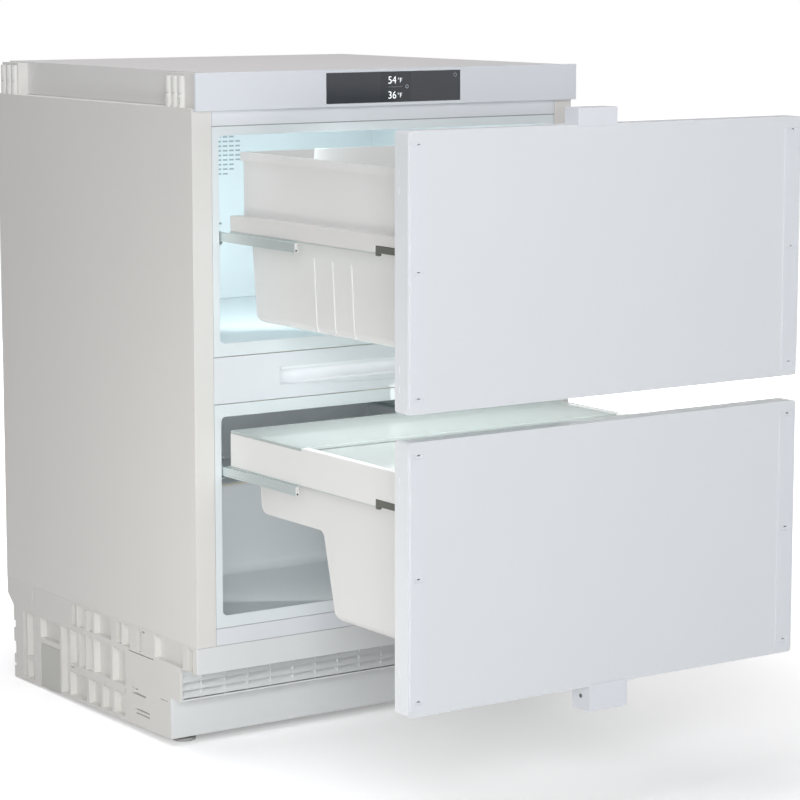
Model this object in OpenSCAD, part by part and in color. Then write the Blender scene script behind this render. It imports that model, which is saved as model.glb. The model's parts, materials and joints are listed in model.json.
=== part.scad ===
// Undercounter refrigerator with two insulated drawers on full-extension slides.
// Millimetres, +Z up, the drawer fronts face -Y. The drawers are drawn fully out.
// The origin is at floor level, at the middle of the whole outline.

/* [Cabinet] */
// Outside width of the cabinet
case_w = 597; // [570:1:630]
// Depth from the front frame to the back panel
case_d = 540; // [535:1:600]
// Height of the base, up to the side panels
base_h = 144; // [142:1:160]
// Side wall, from the liner's face to the outside
wall_t = 38.8; // [36:0.2:46]
// Steel sheet of the side panels
sheet_t = 1; // [0.8:0.1:1.2]
// Plastic back panel
panel_t = 1.2; // [1:0.1:2]
// Moulded liner
liner_t = 2; // [1.5:0.1:2.5]
// Front return of each side panel
return_w = 28.5; // [26:0.5:32]
// Rounding of the two openings
opening_r = 7; // [3:0.5:10]
// Seam between two parts of the front frame
seam = 0.5; // [0.3:0.1:0.8]

/* [Front frame, from the base upwards] */
// Lower trim
low_trim_h = 22.7; // [20:0.1:30]
// Frame edge below the lower opening
low_lip = 16.2; // [14:0.1:20]
// Lower opening
low_open_h = 259.1; // [255:0.1:280]
// Frame edge above the lower opening
low_head = 16.6; // [14:0.1:20]
// Middle trim
mid_trim_h = 60.4; // [58:0.1:70]
// Frame edge below the upper opening
up_lip = 17.5; // [15:0.1:20]
// Upper opening
up_open_h = 263.5; // [260:0.1:285]
// Frame edge above the upper opening
up_head = 12; // [11:0.1:16]
// Top trim
top_trim_h = 19.7; // [18:0.1:26]
// Control fascia
fascia_h = 47.8; // [46:0.1:56]

/* [Compartments] */
// Wall behind the upper compartment, with its liner
back_wall = 42; // [38:0.5:50]
// Duct cover
duct_t = 2.5; // [2:0.1:3]
// Space for the evaporator behind the duct cover
cooler_d = 65.5; // [62:0.5:72]
// Wall behind the lower compartment, with its liner
low_back = 100; // [94:1:104]
// How far the lower floor lies below its opening
floor_drop = 10.9; // [6:0.1:14]
// Depth of the lower floor, up to the step over the machine room
step_d = 265; // [260:1:280]
// Height of that step
step_h = 128; // [120:1:132]
// Foam over and before the machine room
step_foam = 28; // [24:1:34]
// Foam under the lower compartment
floor_foam = 58; // [50:1:58]

/* [Light in the middle trim] */
// Width of the recess
recess_w = 342; // [300:1:360]
// Height of the recess
recess_h = 22; // [18:0.5:26]
// Lower edge of the recess above the trim's lower edge
recess_up = 19.4; // [16:0.1:24]
// Depth of the recess
recess_d = 14; // [10:0.5:18]
// Wall of the recess
recess_wall = 1.5; // [1.2:0.1:2.5]
// Height of the light strip
light_h = 4; // [3:0.5:6]

/* [Drawers] */
// Travel of each drawer
travel = 432; // [400:1:432]
// Width of the drawer fronts
front_w = 586; // [570:1:590]
// Thickness of the drawer fronts
front_t = 26.5; // [24:0.5:30]
// Steel of the drawer fronts
front_sheet = 1; // [0.8:0.1:1.5]
// Rounding of the fronts' corners
front_r = 4; // [2:0.5:8]
// Gap between the two fronts
front_gap = 31.5; // [28:0.5:36]
// Lower front's edge above the lower edge of the side panels
front_up = 11.2; // [10:0.1:20]
// Gap between the upper front and the fascia
fascia_gap = 2.8; // [2:0.1:5]
// Seal, front to back
gasket_t = 10.4; // [9:0.1:12]
// Width of the seal's band
gasket_w = 18; // [14:0.5:20]
// Seal's inner edge outside the opening
gasket_out = 7; // [4:0.5:9]
// Gap between the seal and the frame
seal_gap = 0.3; // [0.2:0.1:0.6]
// Thickness of the seal's base
gasket_base = 2; // [1.5:0.1:3]
// Inset of the seal's face from the edges of its base
gasket_in = 4; // [3:0.5:5]
// Wall of the bins
bin_t = 2.5; // [2:0.1:3]

/* [Fixing strips for a furniture panel] */
// Width of the strips
strip_w = 23; // [20:1:28]
// Thickness of the strips
strip_t = 1.5; // [1:0.1:2]
// Outer edge of the strips inside the front's edge
strip_in = 2.5; // [1:0.5:4]
// Strip's end below the front's upper edge
strip_top = 14; // [10:1:20]
// Strip's end above the front's lower edge
strip_bottom = 8; // [6:1:14]
// Upper and lower hole inside the front's edges
hole_end = 16.8; // [16.6:0.1:22]
// Radius of the holes
hole_r = 2.25; // [1.5:0.05:3]
// Depth of the holes from the strip's face
hole_d = 18; // [12:1:20]
// Width of the fixing blocks
lug_w = 58; // [50:1:66]
// Height of the upper fixing block
up_lug_h = 19.6; // [16:0.1:24]
// Height of the lower fixing block
low_lug_h = 31.1; // [24:0.1:34]
// Lip of the blocks over the front's face
lug_lip = 2.5; // [2:0.1:5]
// Middle of the upper block, from the middle of the cabinet
up_lug_x = -25; // [-60:1:60]
// Depth of the lower block
low_lug_d = 33.4; // [28:0.1:34]
// Depth of the upper block
up_lug_d = 24.7; // [20:0.1:25]

/* [Slides] */
// Slide's middle above the upper opening's edge
up_slide = 139.5; // [125:0.5:150]
// Slide's middle above the lower opening's edge
low_slide = 192.6; // [188:0.1:197]
// Height of the fixed rail
rail_h = 29; // [27:0.5:34]
// Depth of the fixed rail
rail_w = 7.2; // [7.2:0.1:8]
// Steel of the fixed rail
rail_t = 1.2; // [1:0.1:1.4]
// Fixed rail's front end behind the front frame
rail_in = 5; // [3:0.5:8]
// Fixed rail's rear end before the compartment's rear wall
rail_end = 5; // [4:0.5:10]
// Height of the middle rail
mid_rail_h = 11.8; // [11.4:0.1:13]
// Middle rail's upper edge above the slide's middle
mid_rail_up = 2.5; // [2:0.1:2.5]
// Steel of the middle rail
mid_rail_t = 1; // [0.8:0.1:1.2]
// Middle rail's front end behind the fixed rail's
mid_rail_in = 36; // [30:1:40]
// Middle rail's rear end before the fixed rail's
mid_rail_end = 4; // [3:0.5:8]
// Groove along the middle rail, above its lower edge
groove_up = 3; // [2:0.1:4]
// Lips that hold the rails in each other
rail_lip = 1.8; // [1.2:0.1:2.2]
// Running gap between the rails
run_gap = 0.3; // [0.2:0.05:0.4]
// Shelf of the drawer rail above the slide's middle
shelf_up = 2.8; // [2.8:0.1:3.4]
// Steel of the drawer rail
draw_rail_t = 1.2; // [1:0.1:1.4]
// Space between a fixed rail and the drawer beside it
side_gap = 0.3; // [0.2:0.1:1]
// Height of the upper carriers
up_carrier_h = 20.2; // [18:0.1:26]
// Width of the upper carriers
up_carrier_w = 23.4; // [20:0.2:26]
// Wall of the upper carriers
carrier_t = 2.5; // [2:0.1:3.5]
// Length of the latches under the carriers
latch_l = 101; // [80:1:110]
// Height of the latches
latch_h = 8.6; // [7:0.1:9.4]
// Width of the latches
latch_w = 5; // [4:0.5:5.5]
// Latch's lower edge above the slide's middle
latch_up = 4; // [3:0.1:5]

/* [Upper bin] */
// Bin's bottom above the opening's edge
up_bin_up = 26.5; // [20:0.5:40]
// Bin's rim below the opening's upper edge
up_bin_down = 20; // [15:0.5:40]
// Space behind the bins when they are in
bin_back = 18; // [14:1:24]
// Inset of the bin's side above its ledge
ledge_in = 14.3; // [12:0.1:16]
// Width of the ledge on the carriers
ledge_w = 9.4; // [8:0.1:9.4]
// Lean of the sides below the ledge
side_lean = 7; // [3:0.5:10]
// Lean of the bin's back
back_lean = 4; // [2:0.5:8]
// Rim, height
rim_h = 11; // [8:0.5:14]
// Rim, how far it stands out
rim_out = 3.5; // [2:0.5:4]
// Rounding of the bins' lower edges
bin_r = 12; // [8:0.5:16]
// Ribs outside the bin
bin_rib = 1.2; // [0.8:0.1:1.6]
// Distance between the ribs
bin_rib_pitch = 41.6; // [36:0.2:44]
// Upper ends of the ribs below the bin's ledge
bin_rib_down = 43; // [30:1:60]

/* [Lower bin] */
// Deep bottom above the lower floor
deep_up = 36; // [30:0.5:45]
// Shallow bottom above the step
shallow_up = 20; // [16:0.5:30]
// Gap between the deep part and the step
deep_gap = 15; // [12:0.5:20]
// Lean of the deep part's back
deep_lean = 18; // [8:0.5:24]
// Width of the lower bin's rim on each side
brim_w = 11.2; // [10.5:0.1:13]
// Inner ledge that carries the sliding cover
cover_ledge = 15.2; // [14:0.1:18]
// Glass above the rim to the opening's upper edge
cover_down = 16; // [12:0.5:24]
// Glass of the covers
glass_t = 4; // [3:0.5:4]
// Gap between a glass pane and what it slides by
glass_gap = 0.3; // [0.2:0.1:0.5]
// Length of the fixed rear pane
rear_glass_l = 168; // [160:1:190]

/* [Top] */
// Inset of the top cover from the cabinet's sides
cover_in = 20.8; // [18:0.1:26]
// Side panels' upper edge above the fascia's lower edge
side_rise = 3; // [2:0.1:5]
// Fascia's face before the front frame
fascia_out = 11.2; // [10:0.1:12]
// Thickness of the fascia's edge
fascia_t = 5; // [4:0.1:6]
// Width of the display
display_w = 210; // [190:1:220]
// Height of the display
display_h = 39.1; // [34:0.1:42]
// Thickness of the display glass
display_t = 1.8; // [1.5:0.1:2.2]
// Length of the front corner blocks
front_block_l = 78; // [70:1:90]
// Length of the rear corner blocks
rear_block_l = 47; // [44:1:60]
// Radius of the blocks' ribs
block_rib_r = 6; // [5:0.1:6.5]
// Distance between the blocks' ribs
block_rib_pitch = 15.6; // [14:0.1:16]

/* [Base] */
// Height of the front strip under the lower trim
strip_h = 34.4; // [30:0.1:40]
// Front of the air grille behind the front frame
grille_y = 45; // [40:1:55]
// Front of the plinth panel behind the front frame
plinth_y = 69; // [64:1:80]
// Upper edge of the plinth panel below the cabinet's lower edge
plinth_down = 79.7; // [78:0.1:82]
// Gap under the plinth panel
plinth_gap = 9.5; // [6:0.5:12]
// Gap under the base's rear end
rear_gap = 1; // [1:0.5:6]
// Thickness of the side mouldings
mould_t = 14; // [12:0.5:16]
// Depth of the pockets between their ribs
pocket_d = 9; // [6:0.5:10]
// Rear end of the lower mouldings before the back panel
mould_in = 19; // [16:0.5:24]
// Height of the machine tray
tray_z = 22; // [20:0.5:26]
// Steel of the machine tray
tray_t = 2; // [1.5:0.1:3]
// Pitch of the grille's posts
post_pitch = 35.3; // [30:0.1:42]
// Pitch of the grille's blades
blade_pitch = 10.4; // [9.5:0.1:10.8]

/* [Feet] */
// Radius of the foot pads
pad_r = 16; // [13:0.5:17]
// Height of the foot pads
pad_h = 8; // [6:0.5:9]
// Radius of the foot screws
screw_r = 5; // [4:0.5:6]
// Length of the foot screws above the pad
screw_l = 50; // [46:1:60]
// Clearance of the screws in their bushes
screw_gap = 0.05; // [0.03:0.01:0.1]
// Foot's middle inside the cabinet's side
foot_in = 32; // [31:0.5:60]
// Front foot's middle behind the plinth panel's front
foot_front = 24; // [22:1:60]
// Rear foot's middle before the mouldings' rear end
foot_rear = 26; // [22:1:60]

/* [Cooling unit] */
// Radius of the compressor's shell
comp_r = 78; // [70:1:80]
// Height of the compressor
comp_h = 170; // [150:1:180]
// Radius of the condenser fan
cond_fan_r = 62; // [50:1:66]
// Radius of the evaporator fan
evap_fan_r = 29; // [24:0.5:30]
// Radius of the round air grille in the duct cover
air_r = 38; // [31.5:0.5:40]
// Middle of that grille, from the middle of the cabinet
air_x = -4; // [-20:1:20]
// Middle of that grille below the upper opening's upper edge
air_down = 51; // [46:1:60]
// Width of the evaporator
evap_w = 400; // [300:10:440]
// Height of the evaporator
evap_h = 110; // [90:5:120]
// Running gap of the fan shafts
shaft_gap = 0.05; // [0.03:0.01:0.1]

/* [Hidden] */
$fn = 48;
eps = 1;

// Levels of the front frame
low_trim_z = base_h + low_trim_h;
low_open_z = low_trim_z + low_lip;
low_top_z = low_open_z + low_open_h;
mid_z0 = low_top_z + low_head;
mid_z1 = mid_z0 + mid_trim_h;
up_open_z = mid_z1 + up_lip;
up_top_z = up_open_z + up_open_h;
top_trim_z = up_top_z + up_head;
fascia_z = top_trim_z + top_trim_h;
case_h = fascia_z + fascia_h;
side_z1 = fascia_z + side_rise;

// Widths, as half widths from the middle
half_w = case_w / 2;
liner_x = half_w - wall_t;
foam_x = liner_x + liner_t;
frame_x = half_w - return_w - seam;
cover_x = half_w - cover_in;

// Depths and levels inside
up_d = case_d - back_wall;
duct_d = up_d - cooler_d - duct_t;
low_d = case_d - low_back;
floor_z = low_open_z - floor_drop;
step_z = floor_z + step_h;
room_y = step_d + liner_t + step_foam;
room_z = step_z - liner_t - step_foam;
under_z = floor_z - liner_t - floor_foam;
foam_end = case_d - panel_t;
foam_top = side_z1 - sheet_t;
board_space = 30;

// Drawer fronts, with the drawers in
back_y = -gasket_t - seal_gap;
face_y = back_y - front_t;
front_z0 = base_h + front_up;
front_z1 = fascia_z - fascia_gap;
front_h = (front_z1 - front_z0 - front_gap) / 2;
upper_front_z = front_z0 + front_h + front_gap;
hole_x = front_w / 2 - strip_in - strip_w / 2;
hole_h = front_h - 2 * hole_end;

// Place of the front frame in the object's own frame
most_front = face_y - strip_t - travel;
frame_y = (-most_front - case_d) / 2;

// Slides, with the drawers in
up_slide_z = up_open_z + up_slide;
low_slide_z = low_open_z + low_slide;
up_rail_y1 = duct_d - rail_end;
low_rail_y1 = low_d - rail_end;
mid_rail_x = rail_t + run_gap;
mid_rail_w = rail_w - rail_t - run_gap - mid_rail_x;
mid_rail_z = mid_rail_up - mid_rail_h / 2;
mid_rail_y = rail_in + mid_rail_in;
bar_x = mid_rail_x + mid_rail_t + run_gap;
bar_w = mid_rail_w - 2 * mid_rail_t - 2 * run_gap;
bar_h = mid_rail_h - 2 * mid_rail_t - 2 * run_gap;
bar_y = mid_rail_y + travel / 2 + 2;
bar_end = mid_rail_end + 4;
arm_z = mid_rail_up - mid_rail_t - rail_lip - 0.7;
arm_t = 1.5;
shelf_z = shelf_up + draw_rail_t;
drawer_x = liner_x - rail_w - side_gap;
carrier_y1 = duct_d - 12;
latch_y = back_y + latch_l;
latch_x = drawer_x - 0.3;
latch_gap = 0.3;

// Upper bin, with the drawer in
bin_y0 = -4;
up_bin_y1 = duct_d - bin_back;
up_bin_z0 = up_open_z + up_bin_up;
up_bin_z1 = up_top_z - up_bin_down;
up_carrier_z = up_slide_z + shelf_z;
ledge_z = up_carrier_z + up_carrier_h;
ledge_x1 = drawer_x - ledge_in - rim_out + 1.4;
ledge_x0 = ledge_x1 - ledge_w;
rib_y = up_bin_y1 / 2 + 18;
rib_z1 = ledge_z - bin_rib_down;
rib_x1 = ledge_x0 - side_lean * bin_rib_down / (ledge_z - up_bin_z0);

// Lower bin, with the drawer in
low_bin_y1 = low_d - bin_back;
deep_z = floor_z + deep_up;
shallow_z = step_z + shallow_up;
glass_z1 = low_top_z - cover_down;
brim_z = glass_z1 - glass_t;
ledge_top = brim_z - glass_t - glass_gap;
brim_x = drawer_x - brim_w;
tub_x = drawer_x - brim_w - cover_ledge + bin_t;
seam_y = low_bin_y1 - rear_glass_l;
low_carrier_z = low_slide_z + shelf_z;
low_carrier_x = drawer_x - bin_t;

// Base
base_z0 = base_h - strip_h;
plinth_z = base_h - plinth_down;
mould_x = half_w - mould_t;
mould_y1 = case_d - mould_in;
grille_z1 = base_z0 - 12;
foot_x = half_w - foot_in;
foot_y0 = plinth_y + foot_front;
foot_y1 = mould_y1 - foot_rear;
bush_h = 12;
bush_r = screw_r + 6;
screw_end = pad_h + screw_l;

// Cooling unit
tray_top = tray_z + tray_t;
comp_x = comp_r + 90.5 - half_w;
comp_y = (room_y + mould_y1) / 2;
fan_z = (tray_top + room_z) / 2;
fan_x = 40;
motor_r = 20;
shaft_r = 3;
shroud_x = fan_x - cond_fan_r * 0.35;
condenser_x = fan_x + 36;
condenser_x1 = foot_x - bush_r - 3;
condenser_z1 = room_z - comp_h * 0.18;
fin_t = 1.2;
fan_room_y0 = room_y + 10;
fan_room_y1 = mould_y1 - 10;
air_z = up_top_z - air_down;
evap_fan_y = duct_d + duct_t + 34;
inlet_x = -10;
inlet_z = 78;

// ---- helpers ----

// A box from its ranges along X, Y and Z
module block(x, y, z)
    translate([x[0], y[0], z[0]]) cube([x[1] - x[0], y[1] - y[0], z[1] - z[0]]);

module pair() {
    children();
    mirror([1, 0, 0]) children();
}

// Moves what is drawn from the front frame into the object's own frame
module in_case() translate([0, frame_y, 0]) children();

// The same, drawn out by a share of the travel
module drawn(share = 1) translate([0, frame_y - travel * share, 0]) children();

module along_x(x) translate([x[0], 0, 0]) rotate([90, 0, 90]) linear_extrude(x[1] - x[0]) children();

module along_y(y) translate([0, y[1], 0]) rotate([90, 0, 0]) linear_extrude(y[1] - y[0]) children();

module along_z(z) translate([0, 0, z[0]]) linear_extrude(z[1] - z[0]) children();

function unit(v) = v / norm(v);

// Points of a rounded corner at p1, from p0 towards p2
function corner(p0, p1, p2, r, n = 6) =
    let (u = unit(p0 - p1), v = unit(p2 - p1), half = acos(u * v) / 2,
         c = p1 + unit(u + v) * r / sin(half), a = p1 + u * r / tan(half), b = p1 + v * r / tan(half),
         a0 = atan2(a[1] - c[1], a[0] - c[0]), turn = atan2(b[1] - c[1], b[0] - c[0]) - a0,
         sweep = turn > 180 ? turn - 360 : turn < -180 ? turn + 360 : turn)
    [for (i = [0:n]) c + r * [cos(a0 + sweep * i / n), sin(a0 + sweep * i / n)]];

// An outline with a radius for each of its points
function rounded(points, radii) =
    let (n = len(points))
    [for (i = [0:n - 1]) each radii[i] > 0
        ? corner(points[(i + n - 1) % n], points[i], points[(i + 1) % n], radii[i])
        : [points[i]]];

function box_points(x, y) = [[x[0], y[0]], [x[1], y[0]], [x[1], y[1]], [x[0], y[1]]];

module soft_box(x, y, r) polygon(rounded(box_points(x, y), [r, r, r, r]));

// A flat ring between two boxes
module ring(x, y, w, r)
    difference() {
        soft_box([x[0] - w, x[1] + w], [y[0] - w, y[1] + w], r + w / 2);
        soft_box(x, y, r);
    }

// ---- cabinet ----

module side_panel() {
    block([half_w - sheet_t, half_w], [0, case_d], [base_h, side_z1]);
    block([half_w - return_w, half_w], [0, sheet_t], [base_h, side_z1]);
    block([cover_x, half_w], [0, case_d], [side_z1 - sheet_t, side_z1]);
}

module left_side_panel() color([0.78, 0.77, 0.76]) in_case() mirror([1, 0, 0]) side_panel();

module right_side_panel() color([0.78, 0.77, 0.76]) in_case() side_panel();

module top_cover()
    color([0.84, 0.83, 0.82]) in_case() difference() {
        block([-cover_x, cover_x], [fascia_t - fascia_out, case_d], [side_z1, case_h]);
        block([panel_t - cover_x, cover_x - panel_t],
              [fascia_t - fascia_out - eps, foam_end], [side_z1 - eps, case_h - panel_t]);
    }

module back_panel()
    color([0.8, 0.8, 0.8]) in_case()
        block([sheet_t - half_w, half_w - sheet_t], [foam_end, case_d], [base_h, foam_top]);

module side_foam()
    color([0.93, 0.88, 0.7]) in_case() pair()
        block([foam_x, half_w - sheet_t], [liner_t, foam_end], [base_h, foam_top]);

module deck_foam()
    color([0.93, 0.88, 0.7]) in_case() {
        block([-foam_x, foam_x], [liner_t, foam_end], [up_top_z + liner_t, side_z1]);
        block([panel_t - cover_x, cover_x - panel_t],
              [board_space, foam_end], [side_z1, case_h - panel_t]);
        block([-foam_x, foam_x],
              [liner_t + recess_d + recess_wall, foam_end], [low_top_z + liner_t, up_open_z - liner_t]);
        block([-foam_x, foam_x], [liner_t, step_d], [under_z, floor_z - liner_t]);
        block([-foam_x, foam_x], [room_y, foam_end], [room_z, step_z - liner_t]);
    }

module back_foam()
    color([0.93, 0.88, 0.7]) in_case() {
        block([-foam_x, foam_x], [up_d + liner_t, foam_end], [up_open_z, up_top_z]);
        block([-foam_x, foam_x], [low_d + liner_t, foam_end], [step_z, low_top_z]);
        block([-foam_x, foam_x], [step_d + liner_t, room_y], [under_z, step_z - liner_t]);
    }

// The part of a liner that shows in the front frame
module collar(z, open_z)
    along_y([0, liner_t]) difference() {
        translate([-frame_x, z[0] + seam]) square([2 * frame_x, z[1] - z[0] - 2 * seam]);
        soft_box([-liner_x, liner_x], open_z, opening_r);
    }

module upper_liner()
    color([0.93, 0.96, 0.98]) in_case() {
        collar([mid_z1, top_trim_z], [up_open_z, up_top_z]);
        difference() {
            block([-foam_x, foam_x], [0, up_d + liner_t], [up_open_z - liner_t, up_top_z + liner_t]);
            along_y([-eps, up_d]) soft_box([-liner_x, liner_x], [up_open_z, up_top_z], opening_r);
        }
    }

function low_profile(t) = [
    [-eps, floor_z - t], [step_d + t, floor_z - t], [step_d + t, step_z - t],
    [low_d + t, step_z - t], [low_d + t, low_top_z + t], [-eps, low_top_z + t]
];

module lower_liner()
    color([0.82, 0.84, 0.86]) in_case() {
        collar([low_trim_z, mid_z0], [low_open_z, low_top_z]);
        difference() {
            intersection() {
                along_x([-foam_x, foam_x]) polygon(low_profile(liner_t));
                block([-foam_x, foam_x], [0, case_d], [0, case_h]);
            }
            along_x([-liner_x, liner_x]) polygon(rounded(low_profile(0), [0, 14, 8, 10, 0, 0]));
        }
    }

module trim(z)
    block([-frame_x, frame_x], [0, liner_t], [z[0] + seam / 2, z[1] - seam / 2]);

module top_trim() color([0.9, 0.91, 0.94]) in_case() trim([top_trim_z, fascia_z]);

module bottom_trim() color([0.85, 0.87, 0.88]) in_case() trim([base_h, low_trim_z]);

module middle_trim()
    color([0.88, 0.9, 0.92]) in_case() difference() {
        union() {
            trim([mid_z0, mid_z1]);
            block([-recess_w / 2 - recess_wall, recess_w / 2 + recess_wall],
                  [liner_t - 0.5, liner_t + recess_d + recess_wall],
                  [mid_z0 + recess_up - recess_wall, mid_z0 + recess_up + recess_h + recess_wall]);
        }
        block([-recess_w / 2, recess_w / 2], [-eps, recess_d + liner_t],
              [mid_z0 + recess_up, mid_z0 + recess_up + recess_h]);
    }

module middle_light()
    color([0.97, 0.99, 1]) in_case()
        block([-recess_w / 2 + 2, recess_w / 2 - 2], [liner_t, liner_t + recess_d - 2],
              [mid_z0 + recess_up + recess_h - light_h, mid_z0 + recess_up + recess_h]);

module fascia()
    color([0.86, 0.88, 0.92]) in_case() {
        mid = fascia_z + fascia_h / 2;
        difference() {
            block([-half_w, half_w], [-fascia_out, fascia_t - fascia_out], [fascia_z, case_h]);
            block([-display_w / 2 - 0.2, display_w / 2 + 0.2], [-fascia_out - eps, display_t - fascia_out],
                  [mid - display_h / 2 - 0.2, mid + display_h / 2 + 0.2]);
            block([10 - display_w / 2, display_w / 2 - 10], [-fascia_out, 0],
                  [mid - display_h / 2 + 6, mid + display_h / 2 - 6]);
        }
        block([-half_w, half_w], [fascia_t - fascia_out - eps, 0], [fascia_z, fascia_z + 1.5]);
    }

module display_glass()
    color([0.26, 0.27, 0.3]) in_case() {
        mid = fascia_z + fascia_h / 2;
        block([-display_w / 2, display_w / 2], [-fascia_out, display_t - fascia_out],
              [mid - display_h / 2, mid + display_h / 2]);
    }

module control_board()
    color([0.12, 0.4, 0.22]) in_case() {
        mid = fascia_z + fascia_h / 2;
        y = fascia_t - fascia_out;
        board_w = display_w * 0.94;
        board_h = display_h * 0.76;
        block([-board_w / 2, board_w / 2], [y, y + 1.6], [mid - board_h / 2, mid + board_h / 2]);
        for (i = [-2:2])
            block([(i * 2 - 0.5) * board_w / 12, (i * 2 + 0.5) * board_w / 12],
                  [y + 1, y + 12 + 3 * (i % 2)], [mid - board_h * 0.3, mid + board_h * (0.27 + i / 30)]);
    }

// A block that fills the recess beside the top cover, with upright ribs outside
module corner_block(y, rib_y) {
    block([cover_x, half_w - block_rib_r], y, [side_z1, case_h - 1.5]);
    for (i = [0:2])
        translate([half_w - block_rib_r - 0.5, rib_y + i * block_rib_pitch, side_z1])
            cylinder(r = block_rib_r, h = case_h - side_z1 - 5);
}

module corner_blocks()
    color([0.75, 0.74, 0.73]) in_case() pair() {
        front_y = fascia_t - fascia_out + 0.3;
        corner_block([front_y, front_y + front_block_l],
                     front_y + front_block_l - 2 * block_rib_pitch - block_rib_r - 2);
        corner_block([case_d - 7 - rear_block_l, case_d - 7],
                     case_d - 7 - 2 * block_rib_pitch - block_rib_r - 1);
    }

// ---- base ----

// Pockets of the side mouldings: [rear, front, lower, upper], seen from the side
function band_pockets() = [
    [343, 331], [328, 309], [300, 284], [279, 232], [214, 203], [200, 179], [158, 147], [112, 38], [26, 12]
];

function low_pockets() = [
    [492, 482, 8, 103], [479, 458, 40, 103], [479, 458, 8, 36], [438, 382, 74, 103], [376, 354, 8, 103],
    [349, 325, 55, 103], [322, 306, 55, 103], [303, 285, 55, 103], [280, 234, 56, 103],
    [228, 192, 56, 103], [350, 303, 10, 44], [296, 263, 10, 44], [256, 232, 12, 44], [224, 195, 13, 44]
];

// Slots in the front plate of the mouldings: [rear, front, lower, upper]
function plate_slots() = [[174, 137, 50, 52.5], [166, 127, 29.5, 31.5], [166, 127, 24, 26]];

// Notches in the rear edge: [lower, upper]
function rear_notches() = [[17, 21], [35, 53], [73, 83.5]];

module base_side() {
    band_z = base_z0 - 4;
    difference() {
        union() {
            along_x([mould_x, half_w]) polygon([
                [0, base_z0], [0, base_h], [foam_end, base_h], [foam_end, base_z0 + 12],
                [mould_y1, band_z], [mould_y1, rear_gap], [plinth_y + 3, plinth_gap],
                [plinth_y + 3, band_z], [plinth_y + 3, base_z0]
            ]);
            along_x([half_w - 3, half_w]) polygon([
                [grille_y, base_z0], [plinth_y + 4, base_z0], [plinth_y + 4, plinth_z], [grille_y, plinth_z]
            ]);
        }
        block([mould_x - eps, half_w + eps], [-eps, liner_t], [0, base_h + eps]);
        for (p = band_pockets())
            block([half_w - pocket_d, half_w + eps], [p[1], p[0]], [base_z0 + 1, base_h - 3]);
        for (p = low_pockets())
            block([half_w - pocket_d, half_w + eps], [p[1], p[0]], [p[2], p[3]]);
        for (p = plate_slots())
            block([half_w - 2, half_w + eps], [p[1], p[0]], [p[2], p[3]]);
        for (p = rear_notches())
            block([mould_x - eps, half_w + eps], [mould_y1 - 5, mould_y1 + eps], [p[0], p[1]]);
    }
}

module base_left() color([0.76, 0.76, 0.75]) in_case() mirror([1, 0, 0]) base_side();

module base_right() color([0.76, 0.76, 0.75]) in_case() base_side();

// The front strip with the pan that closes the foam from below
module base_pan()
    color([0.88, 0.89, 0.9]) in_case() {
        block([-half_w, half_w], [0, liner_t], [base_z0, base_h - seam / 2]);
        block([0.2 - mould_x, mould_x - 0.2], [0, room_y], [base_z0, under_z]);
    }

module machine_tray()
    color([0.55, 0.56, 0.57]) in_case() difference() {
        union() {
            block([0.2 - mould_x, mould_x - 0.2], [plinth_y + 3.3, mould_y1 - 2], [tray_z, tray_top]);
            block([0.2 - mould_x, mould_x - 0.2], [plinth_y + 3.3, plinth_y + 3.3 + tray_t],
                  [tray_z, plinth_z - 8]);
            for (y = [foot_y0, foot_y1])
                pair() translate([foot_x, y, tray_z]) cylinder(r = bush_r, h = bush_h);
        }
        for (y = [foot_y0, foot_y1])
            pair() translate([foot_x, y, 0]) cylinder(r = screw_r + screw_gap, h = base_h);
    }

module air_grille()
    color([0.86, 0.87, 0.88]) in_case() {
        x = half_w - 3.2;
        posts = floor(2 * x / post_pitch);
        for (i = [0:2]) {
            z = grille_z1 - i * blade_pitch;
            along_x([-x, x]) polygon([
                [grille_y, z - blade_pitch + 2], [grille_y + 2, z - blade_pitch + 2],
                [grille_y + 9, z], [grille_y + 7, z]
            ]);
        }
        block([-x, x], [grille_y + 7, grille_y + 9], [grille_z1 - 1, base_z0]);
        z0 = grille_z1 - 3 * blade_pitch;
        block([-x, x], [grille_y, plinth_y + 2], [plinth_z + 0.2, z0 + 0.3]);
        for (i = [0:posts - 1])
            block([-1 + (i - (posts - 1) / 2) * post_pitch, 1 + (i - (posts - 1) / 2) * post_pitch],
                  [grille_y + 3, grille_y + 12], [z0 - 1, base_z0]);
        pair() block([x - 2, x], [grille_y + 1, plinth_y], [plinth_z + 0.2, base_z0]);
    }

module plinth_panel()
    color([0.87, 0.88, 0.89]) in_case()
        block([-half_w, half_w], [plinth_y, plinth_y + 3], [plinth_gap, plinth_z]);

// ---- cooling unit ----

module compressor()
    color([0.13, 0.13, 0.14]) in_case() translate([comp_x, comp_y, tray_top]) {
        foot_h = 12;
        difference() {
            translate([0, 0, foot_h]) rotate_extrude() polygon([
                [0, 0], [comp_r - 24, 0], [comp_r, 20], [comp_r, comp_h - 55], [comp_r - 8, comp_h - 34],
                [comp_r - 30, comp_h - 18], [0, comp_h - foot_h]
            ]);
            translate([0, 0, foot_h + 12]) difference() {
                cylinder(r = comp_r - 4, h = comp_h - 70);
                translate([0, 0, -eps]) cylinder(r = comp_r - 36, h = comp_h);
            }
        }
        block([-comp_r - 16, comp_r + 16], [-44, 44], [foot_h, foot_h + 3]);
        for (x = [-1, 1], y = [-1, 1])
            translate([x * (comp_r + 4), y * 33, 0]) cylinder(r = 9, h = foot_h + 1);
        block([comp_r - 6, comp_r + 20], [-comp_r * 0.3, comp_r * 0.3], [comp_h * 0.24, comp_h * 0.55]);
    }

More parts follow.
